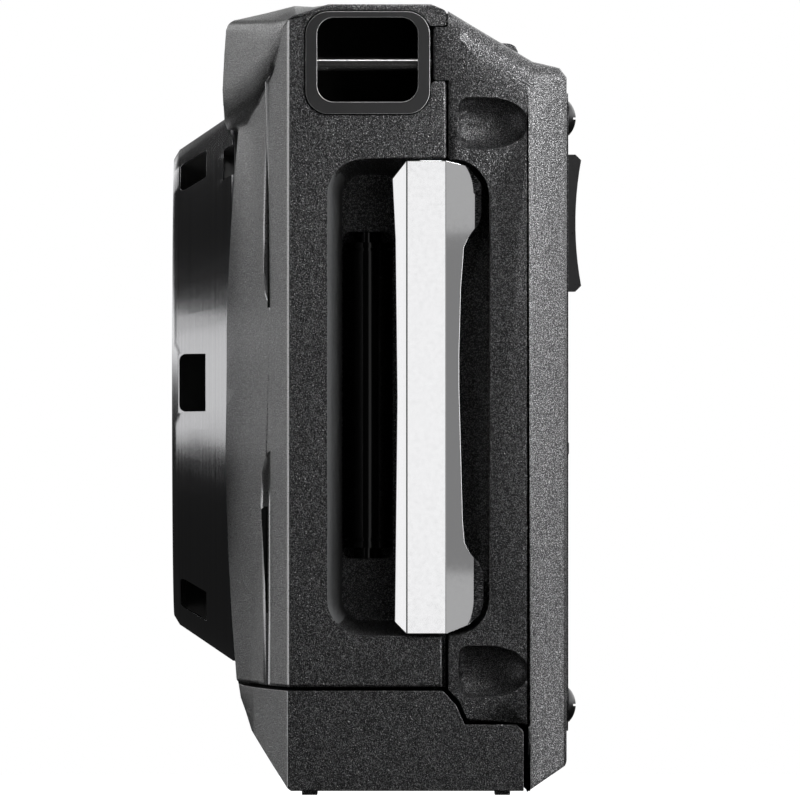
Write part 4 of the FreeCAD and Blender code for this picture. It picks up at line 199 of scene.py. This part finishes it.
def speckled_paint(name, base, fleck, amount, grain):
    """Dark paint with a fine light-grey sparkle and a fine grain, both drawn out along the casing."""
    drawn_out = (0.3, 1, 1)
    sparkle_scale = 14000
    grain_scale = 12000
    drift_scale = 90
    paint = Finish(name, Specular_IOR_Level=0.5, Metallic=0.75)
    where = paint.node("VectorMath", {"operation": "MULTIPLY"}, {0: paint.place(), 1: drawn_out})
    glint = paint.number(paint.noise(sparkle_scale, 1, 0.4, where), 1 - amount, 0.68)
    drift = paint.noise(drift_scale, 2)
    colour = paint.mix(glint, base, fleck)
    shade = paint.mix(paint.number(drift, 0.2, 0.8, 0, 0.25), colour, base)
    height = paint.noise(grain_scale, 1, 0.5, where)
    return paint.surface(
        Base_Color=shade,
        Roughness=paint.number(height, 0.3, 0.7, 0.26, 0.36),
        Normal=paint.bump(height, grain, 0.08 * MM))


def plain_plastic(name, colour, rough, grain=0.15, scale=3500, shine=0.5):
    """Moulded plastic with a fine even grain."""
    plastic = Finish(name, Specular_IOR_Level=shine)
    height = plastic.noise(scale, 3)
    tint = plastic.number(plastic.noise(180, 2), 0.3, 0.7)
    return plastic.surface(
        Base_Color=plastic.mix(tint, colour, [part * 1.25 + 0.002 for part in colour]),
        Roughness=plastic.number(height, 0.3, 0.7, rough - 0.06, rough + 0.06),
        Normal=plastic.bump(height, grain))


def gloss_plastic(name, colour, rough, marks=0.08):
    """Glossy plastic with faint haze and hairline marks."""
    gloss = Finish(name, Specular_IOR_Level=0.5, Coat_Roughness=0.03)
    haze = gloss.noise(900, 4, 0.6)
    return gloss.surface(
        Base_Color=gloss.mix(gloss.number(haze, 0.3, 0.8), colour, [part + 0.004 for part in colour]),
        Roughness=gloss.number(haze, 0.3, 0.75, rough, rough + marks),
        Coat_Weight=0.5)


def turned_metal(name, colour, rough):
    """Black anodised metal with the fine rings that a lathe leaves about the lens axis."""
    rings_per_mm = 3.5
    slant = 1.4
    metal = Finish(name, Specular_IOR_Level=0.5)
    x, y, z = metal.axes()
    reach = ((x ** 2) + ((z - LENS_Z) ** 2)) ** 0.5
    along = metal.node("CombineXYZ", values={"X": (reach + y * slant) * rings_per_mm, "Y": 0.0, "Z": 0.0})
    lines = metal.node("TexNoise", values={"Vector": along, "Scale": 1.0, "Detail": 3, "Roughness": 0.7})
    fine = metal.noise(2600, 2)
    # the walls of the notches lie under the cone; they are painted darker and duller than the bare ring, as
    # painted shade
    under = (y * CONE_SLOPE + CONE_START) - reach
    inside = metal.number(under, 0.12, 0.2) * metal.number(y, 0.05 - RING_FRONT, 0.13 - RING_FRONT)
    bare = metal.mix(metal.number(lines, 0.3, 0.7), colour, [part * 1.3 for part in colour])
    rough_lines = metal.number(lines, 0.25, 0.75, rough - 0.04, rough + 0.08)
    return metal.surface(
        Base_Color=metal.mix(inside, bare, (0.16, 0.16, 0.16)),
        Metallic=1 - inside * 0.75,
        Roughness=rough_lines + inside * 0.25,
        Normal=metal.bump(lines + fine * 0.2, 0.25, 0.03 * MM))


def bright_metal(name, colour, rough, grain=0.0, stretch=(1, 1, 1), stain=0.93):
    """Bright metal: polished, or brushed along one way."""
    metal = Finish(name, Metallic=1.0)
    where = metal.node("VectorMath", {"operation": "MULTIPLY"}, {0: metal.place(), 1: stretch})
    marks = metal.noise(2500, 4, 0.6, where)
    stained = [part * stain for part in colour]
    values = {
        "Base_Color": metal.mix(metal.number(marks, 0.3, 0.7), colour, stained),
        "Roughness": metal.number(marks, 0.25, 0.8, rough, rough + 0.04 + grain * 0.2),
    }
    if grain:
        values["Normal"] = metal.bump(marks, grain, 0.03 * MM)
    return metal.surface(**values)


def soft_rubber(name, colour):
    """Matt rubber with small raised dots."""
    rubber = Finish(name, Specular_IOR_Level=0.35)
    dots = rubber.node("TexVoronoi", values={"Vector": rubber.place(), "Scale": 1600}, output="Distance")
    dust = rubber.noise(400, 4)
    height = rubber.number(dots, 0.1, 0.5, 1, 0)
    return rubber.surface(
        Base_Color=rubber.mix(rubber.number(dust, 0.4, 0.8), colour, [part * 1.6 for part in colour]),
        Roughness=rubber.number(dust, 0.3, 0.7, 0.62, 0.78),
        Normal=rubber.bump(height, 0.5, 0.08 * MM))


def clear_window(name, tint, alpha):
    """Clear glass or plastic: mostly see-through, with a sharp reflection."""
    glass = Finish(name, Specular_IOR_Level=0.6, Coat_Roughness=0.01)
    haze = glass.noise(300, 3)
    facing = glass.node("LayerWeight", values={"Blend": 0.3}, output="Facing")
    return glass.surface(
        Base_Color=glass.mix(glass.number(haze, 0.3, 0.7), tint, [part * 1.05 for part in tint]),
        Roughness=glass.number(haze, 0.3, 0.7, 0.015, 0.04),
        Coat_Weight=0.6,
        Alpha=glass.number(facing, 0, 1, alpha, 0.9))


def coated_lens(name):
    """Dark lens glass with a violet and green anti-reflection coating."""
    lens = Finish(name, Specular_IOR_Level=0.7, Coat_Roughness=0.01)
    facing = lens.node("LayerWeight", values={"Blend": 0.45}, output="Facing")
    colour = lens.ramp(
        facing, (0.0, (0.004, 0.004, 0.006)), (0.35, (0.02, 0.008, 0.04)), (0.6, (0.01, 0.03, 0.03)),
        (1.0, (0.05, 0.03, 0.07)))
    rings = lens.noise(700, 2)
    return lens.surface(
        Base_Color=colour, Roughness=lens.number(rings, 0.3, 0.7, 0.02, 0.05), Coat_Weight=0.8)


def circuit_board(name):
    """Green solder mask with traces and pads."""
    board = Finish(name, Specular_IOR_Level=0.5)
    lanes = board.node("TexWave", {"wave_type": "BANDS", "bands_direction": "Z"}, {
        "Vector": board.place(), "Scale": 260, "Distortion": 6, "Detail": 1, "Detail Scale": 2}, output=1)
    pads = board.node("TexVoronoi", values={"Vector": board.place(), "Scale": 700}, output="Distance")
    trace = board.number(lanes, 0.75, 0.8)
    pad = board.number(pads, 0.22, 0.18)
    green = board.mix(trace, (0.006, 0.06, 0.025), (0.01, 0.1, 0.04))
    return board.surface(
        Base_Color=board.mix(pad, green, (0.5, 0.4, 0.2)),
        Roughness=board.number(pad, 0, 1, 0.35, 0.25),
        Normal=board.bump(trace, 0.2, 0.03 * MM))


def display_panel(name):
    """A dark display with its fine pixel rows."""
    panel = Finish(name, Specular_IOR_Level=0.5)
    rows = panel.node("TexWave", {"wave_type": "BANDS", "bands_direction": "Z"}, {
        "Vector": panel.place(), "Scale": 900, "Distortion": 0, "Detail": 0}, output=1)
    return panel.surface(
        Base_Color=panel.mix(rows, (0.012, 0.013, 0.016), (0.02, 0.022, 0.027)),
        Roughness=panel.number(rows, 0, 1, 0.16, 0.22))


# one finish for each material slot, and the finishes of parts that look different from their slot
MATERIALS = {
    "body_paint": speckled_paint("body_paint", (0.075, 0.075, 0.077), (0.62, 0.62, 0.63), 0.5, 0.8),
    "plate_paint": speckled_paint("plate_paint", (0.05, 0.05, 0.052), (0.3, 0.3, 0.31), 0.5, 0.3),
    "rubber": soft_rubber("rubber", (0.012, 0.012, 0.013)),
    "ring_metal": turned_metal("ring_metal", (0.5, 0.5, 0.51), 0.21),
    "frosted_ring": plain_plastic("frosted_ring", (0.55, 0.56, 0.58), 0.4, 0.1),
    "circuit_board": circuit_board("circuit_board"),
    "clear_glass": clear_window("clear_glass", (0.04, 0.045, 0.05), 0.25),
    "mirror_metal": bright_metal("mirror_metal", (0.9, 0.9, 0.92), 0.08),
    "battery_wrap": gloss_plastic("battery_wrap", (0.03, 0.032, 0.04), 0.3),
    "bar_chrome": bright_metal("bar_chrome", (0.92, 0.92, 0.93), 0.03, stain=0.985),
    "steel": bright_metal("steel", (0.42, 0.41, 0.4), 0.14, 0.1, (1, 0.2, 1)),
    "barrel_gloss": gloss_plastic("barrel_gloss", (0.001, 0.001, 0.001), 0.06),
    "dark_plastic": plain_plastic("dark_plastic", (0.011, 0.011, 0.012), 0.42, 0.25),
    "card_plastic": plain_plastic("card_plastic", (0.02, 0.05, 0.2), 0.45),
    "dark_steel": bright_metal("dark_steel", (0.09, 0.09, 0.092), 0.28, 0.2),
    "screen_glass": gloss_plastic("screen_glass", (0.006, 0.006, 0.007), 0.05, 0.01),
    "display": display_panel("display"),
    "key_plastic": plain_plastic("key_plastic", (0.045, 0.045, 0.046), 0.33, 0.15),
    "key_metal": bright_metal("key_metal", (0.42, 0.42, 0.43), 0.3, 0.25, (0.1, 1, 1)),
    "motor_metal": bright_metal("motor_metal", (0.5, 0.5, 0.51), 0.25, 0.3, (0.1, 1, 1)),
    "sensor": gloss_plastic("sensor", (0.02, 0.025, 0.05), 0.15),
    "sheet_metal": bright_metal("sheet_metal", (0.5, 0.5, 0.51), 0.35, 0.3),
    "brass_thread": bright_metal("brass_thread", (0.55, 0.43, 0.2), 0.28, 0.3),
    "coated_lens": coated_lens("coated_lens"),
    # painted light: a lighter paint for a recess wall that catches more light
    "recess_wall_painted_light": plain_plastic("recess_wall_painted_light", (0.16, 0.162, 0.165), 0.5, 0.1),
    # a painted highlight for bright edge lines
    "painted_edge_highlight": speckled_paint("painted_edge_highlight", (0.75, 0.75, 0.76), (0.9, 0.9, 0.9), 0.5, 0.1),
    "lug_gloss": plain_plastic("lug_gloss", (0.06, 0.06, 0.061), 0.2, 0.05),
    # painted shade: near-black for the insides of grooves and pockets
    "painted_shade_black": plain_plastic("painted_shade_black", (0.009, 0.009, 0.009), 0.6, 0.3, shine=0.15),
    # a painted highlight for the rims of the strap pocket
    "lug_rim_highlight": plain_plastic("lug_rim_highlight", (0.85, 0.85, 0.86), 0.16, 0.05),
    "pin_steel": bright_metal("pin_steel", (0.95, 0.94, 0.93), 0.2, 0.05, (1, 0.2, 1)),
}
OWN_FINISH = {"front_element": "coated_lens", "strap_pin": "pin_steel"}
for node, piece in NODES.items():
    piece.data.materials.clear()
    piece.data.materials.append(MATERIALS[OWN_FINISH.get(node, SLOTS[node])])


def alone(piece):
    """Makes one piece the only one that is selected and active."""
    bpy.ops.object.select_all(action="DESELECT")
    piece.select_set(True)
    bpy.context.view_layer.objects.active = piece


def weigh_long_edges(mesh, shortest, angle):
    """Gives the sharp edges that are at least as long as the shortest length a bevel weight of 1."""
    shape = bmesh.new()
    shape.from_mesh(mesh)
    weight = shape.edges.layers.float.new("bevel_weight_edge")
    for edge in shape.edges:
        if len(edge.link_faces) == 2 and edge.calc_length() >= shortest:
            edge[weight] = float(edge.calc_face_angle() > angle)
    shape.to_mesh(mesh)
    shape.free()


def softened(node, width, segments=3, angle=28, smooth=32, even=True, shortest=0):
    """A merged copy of a CAD node with soft edges, which is shown in its place.

    Width and shortest are in mm, angle and smooth in degrees. With a shortest length, only the edges that
    are at least as long are softened, and with even, large faces stay flat beside the soft edges.
    """
    source = NODES[node]
    piece = source.copy()
    piece.data = source.data.copy()
    piece.name = node + "_soft"
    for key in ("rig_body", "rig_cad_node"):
        if key in piece:
            del piece[key]
    bpy.context.scene.collection.objects.link(piece)
    piece.parent = None
    alone(piece)
    bpy.ops.object.mode_set(mode="EDIT")
    bpy.ops.mesh.select_all(action="SELECT")
    bpy.ops.mesh.remove_doubles(threshold=WELD)
    bpy.ops.mesh.dissolve_limited(angle_limit=FLAT_TILT)
    bpy.ops.object.mode_set(mode="OBJECT")
    bevel = piece.modifiers.new("edges", "BEVEL")
    bevel.width = width * MM
    bevel.segments = segments
    bevel.miter_outer = "MITER_ARC"
    if shortest:
        weigh_long_edges(piece.data, shortest * MM, math.radians(angle))
        bevel.limit_method = "WEIGHT"
        bevel.use_clamp_overlap = False
    else:
        bevel.limit_method = "ANGLE"
        bevel.angle_limit = math.radians(angle)
        bevel.use_clamp_overlap = True
    bpy.ops.object.modifier_apply(modifier="edges")
    bpy.ops.object.shade_smooth_by_angle(angle=math.radians(smooth))
    if even:
        weigh = piece.modifiers.new("weigh", "WEIGHTED_NORMAL")
        weigh.keep_sharp = True
        bpy.ops.object.modifier_apply(modifier="weigh")
    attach(piece, BODY_OF[node])
    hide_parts(node)
    return piece


def repaint(piece, material, low, high, largest=math.inf, tilt=(-math.inf, math.inf)):
    """Gives some faces of a piece another material.

    They are the faces with their middle in a box, in mm, with less than the largest area, in square mm, and
    with the X of their normal between the two tilts.
    """
    piece.data.materials.append(MATERIALS[material])
    for face in piece.data.polygons:
        inside = all(first < place / MM < last for first, place, last in zip(low, face.center, high))
        if inside and face.area / MM2 < largest and tilt[0] < face.normal.x < tilt[1]:
            face.material_index = len(piece.data.materials) - 1


SOFT = {
    "front_shell": {"width": 0.25, "shortest": 2.5},
    "rear_shell": {"width": 0.25, "shortest": 2.5, "even": False},
    "battery_door": {"width": 0.3},
    "lens_ring": {"width": 0.15},
    "guard_bar": {"width": 0.22, "segments": 4, "angle": 25, "smooth": 14},
    "strap_lug_frame": {"width": 0.42, "segments": 4},
    "zoom_rocker": {"width": 0.3},
    "back_plate": {"width": 0.25},
    "grip_pad": {"width": 0.3},
}
soft = {node: softened(node, **settings) for node, settings in SOFT.items()}

# the front wall of the recess's deep slot is painted lighter than the paint: painted light, where the wall
# catches more light
repaint(soft["front_shell"], "recess_wall_painted_light", (51.9, -4.5, 14.5), (58.55, -3.05, 51.5))
# a painted highlight: a bright line along the front edge of the end, which runs on over the door
repaint(soft["front_shell"], "painted_edge_highlight", (58.3, -8.1, 3), (58.699, -7.3, 64))
repaint(soft["battery_door"], "painted_edge_highlight", (58.3, -8.2, 0.3), (58.699, -7.0, 8.9))
# the crown's two grooves: walls painted near-black as painted shade, with a painted highlight on their edges,
# which are the small faces
GROOVES = ((41, -10.4, 7.5), (50, -9.2, 58.5))
repaint(soft["front_shell"], "painted_shade_black", *GROOVES, tilt=(0.6, math.inf))
repaint(soft["front_shell"], "painted_edge_highlight", *GROOVES, largest=2.2)
# the strap pocket: a gloss frame with a painted highlight on its rims, and painted shade, near-black, on its
# inside
LUG_BOX = ((48, -7, 56), (59, 5, 66))
LUG_RIM_HIGHLIGHT = ((57.8, -7, 56), (59, 5, 66))
LUG_INSIDE_SHADE = ((48, -5.4, 57.3), (57.9, 3.3, 64.7))
repaint(soft["strap_lug_frame"], "lug_gloss", *LUG_BOX)
repaint(soft["strap_lug_frame"], "lug_rim_highlight", *LUG_RIM_HIGHLIGHT, tilt=(0.35, 0.85))
repaint(soft["strap_lug_frame"], "painted_shade_black", *LUG_INSIDE_SHADE)

bpy.ops.object.select_all(action="DESELECT")
bpy.ops.mesh.primitive_circle_add(
    vertices=96, radius=FLOOR_RADIUS, fill_type="NGON", location=(0, 0, FLOOR_Z))
floor = bpy.context.object
floor.name = "floor"
pale = Finish("pale_floor", Specular_IOR_Level=0.2)
pale_tint = pale.mix(pale.number(pale.noise(6, 2), 0.3, 0.7), (0.9, 0.9, 0.9), (0.93, 0.93, 0.93))
floor.data.materials.append(pale.surface(
    Base_Color=pale_tint, Roughness=0.9, Emission_Color=pale_tint, Emission_Strength=1.25))
floor.visible_glossy = False
floor.visible_diffuse = False

# the sky: dark, with two soft white panels beyond the far end that the front and the ring reflect
WHITE = (1, 1, 1)
DARK_SKY = 0.013
PANEL_LIGHT = 1.45
BACKGROUND = 1.0
world = bpy.data.worlds.new("studio")
bpy.context.scene.world = world
world.use_nodes = True
sky = world.node_tree
sky.nodes.clear()


def sky_light(colour, strength):
    """A background shader of one colour and strength."""
    node = sky.nodes.new("ShaderNodeBackground")
    node.inputs["Color"].default_value = (*colour, 1)
    node.inputs["Strength"].default_value = strength
    return node


def combine(operation, first, second):
    """Two values of the sky, put together."""
    node = sky.nodes.new("ShaderNodeMath")
    node.operation = operation
    sky.links.new(first, node.inputs[0])
    sky.links.new(second, node.inputs[1])
    return node.outputs[0]


def blend(value, start, stop):
    """A soft step from 0 at start to 1 at stop."""
    step = sky.nodes.new("ShaderNodeMapRange")
    step.interpolation_type = "SMOOTHSTEP"
    step.inputs["From Min"].default_value = start
    step.inputs["From Max"].default_value = stop
    sky.links.new(value, step.inputs["Value"])
    return step.outputs[0]


ray = sky.nodes.new("ShaderNodeLightPath")
way = sky.nodes.new("ShaderNodeTexCoord")
split = sky.nodes.new("ShaderNodeSeparateXYZ")
sky.links.new(way.outputs["Generated"], split.inputs[0])
east, north, up = split.outputs
# one panel stands low on the front's side, and one stands higher on the back's side
low_panel = combine("MULTIPLY", blend(up, 0.0, 0.1), blend(up, 0.28, 0.18))
low_panel = combine("MULTIPLY", low_panel, blend(north, -0.1, -0.3))
high_panel = combine("MULTIPLY", blend(up, 0.02, 0.15), blend(up, 0.5, 0.3))
high_panel = combine("MULTIPLY", high_panel, blend(north, -0.12, 0.05))
far_side = combine("MULTIPLY", combine("MAXIMUM", low_panel, high_panel), blend(east, 0.05, -0.35))
lit = sky.nodes.new("ShaderNodeMixShader")
either = sky.nodes.new("ShaderNodeMixShader")
result = sky.nodes.new("ShaderNodeOutputWorld")
sky.links.new(far_side, lit.inputs[0])
sky.links.new(sky_light(WHITE, DARK_SKY).outputs[0], lit.inputs[1])
sky.links.new(sky_light(WHITE, PANEL_LIGHT).outputs[0], lit.inputs[2])
sky.links.new(ray.outputs["Is Camera Ray"], either.inputs[0])
sky.links.new(lit.outputs[0], either.inputs[1])
sky.links.new(sky_light(WHITE, BACKGROUND).outputs[0], either.inputs[2])
sky.links.new(either.outputs[0], result.inputs["Surface"])


def softbox(name, place, target, wide, tall, radiance):
    """A rectangular soft light that faces a target."""
    light = bpy.data.lights.new(name, "AREA")
    light.shape = "RECTANGLE"
    light.size = wide
    light.size_y = tall
    light.energy = radiance * math.pi * wide * tall
    piece = bpy.data.objects.new(name, light)
    bpy.context.scene.collection.objects.link(piece)
    piece.location = place
    piece.rotation_mode = "QUATERNION"
    piece.rotation_quaternion = (Vector(target) - Vector(place)).to_track_quat("-Z", "Y")
    piece.visible_camera = False


# what the lights face: the part's middle, the flat end, the strap pin, the bar's wide face and rear slope
MIDDLE = (0.03, 0, 0.034)
END_FACE = (0.0587, 0.008, 0.045)
PIN = (0.0572, -0.001, 0.0607)
BAR_FACE = (0.0587, 0.005, 0.033)
BAR_SLOPE = (0.0587, 0.008, 0.033)
# each light: its place and target, its width and height in metres, and its radiance
SOFTBOXES = {
    "camera_card": ((2.3, 0.003, 0.0335), MIDDLE, 0.12, 0.14, 0.95),
    "back_side": ((0.16, 0.58, 0.2), MIDDLE, 0.28, 0.64, 3.0),
    "front_side": ((0.22, -0.62, 0.06), MIDDLE, 0.4, 0.44, 0.95),
    "above": ((-0.3, 0, 0.58), MIDDLE, 0.5, 0.5, 1.8),
    "upper_card": ((0.098, 0.058, 0.086), END_FACE, 0.04, 0.04, 6.8),
    "pin_strip": ((0.08, -0.001, 0.1035), PIN, 0.012, 0.006, 4),
    "bar_fill": ((0.16, 0.047, 0.034), BAR_FACE, 0.055, 0.08, 0.3),
    "slope_card": ((0.122, 0.107, 0.033), BAR_SLOPE, 0.09, 0.13, 0.2),
    "slope_card_high": ((0.122, 0.107, 0.0635), BAR_SLOPE, 0.09, 0.033, 0.19),
    "slope_card_low": ((0.122, 0.107, 0.004), BAR_SLOPE, 0.09, 0.028, 0.19),
}
for light_name, setting in SOFTBOXES.items():
    softbox(light_name, *setting)

eye = bpy.data.cameras.new("photo_view")
eye.sensor_width = SENSOR_MM
eye.lens = LENS_MM
eye.clip_start = EYE_NEAR
eye.clip_end = EYE_FAR
camera = bpy.data.objects.new("photo_view", eye)
bpy.context.scene.collection.objects.link(camera)
camera.location = EYE_PLACE
camera.rotation_mode = "QUATERNION"
camera.rotation_quaternion = Vector((-1, 0, 0)).to_track_quat("-Z", "Y")
bpy.context.scene.camera = camera
bpy.context.scene.view_settings.view_transform = "Standard"
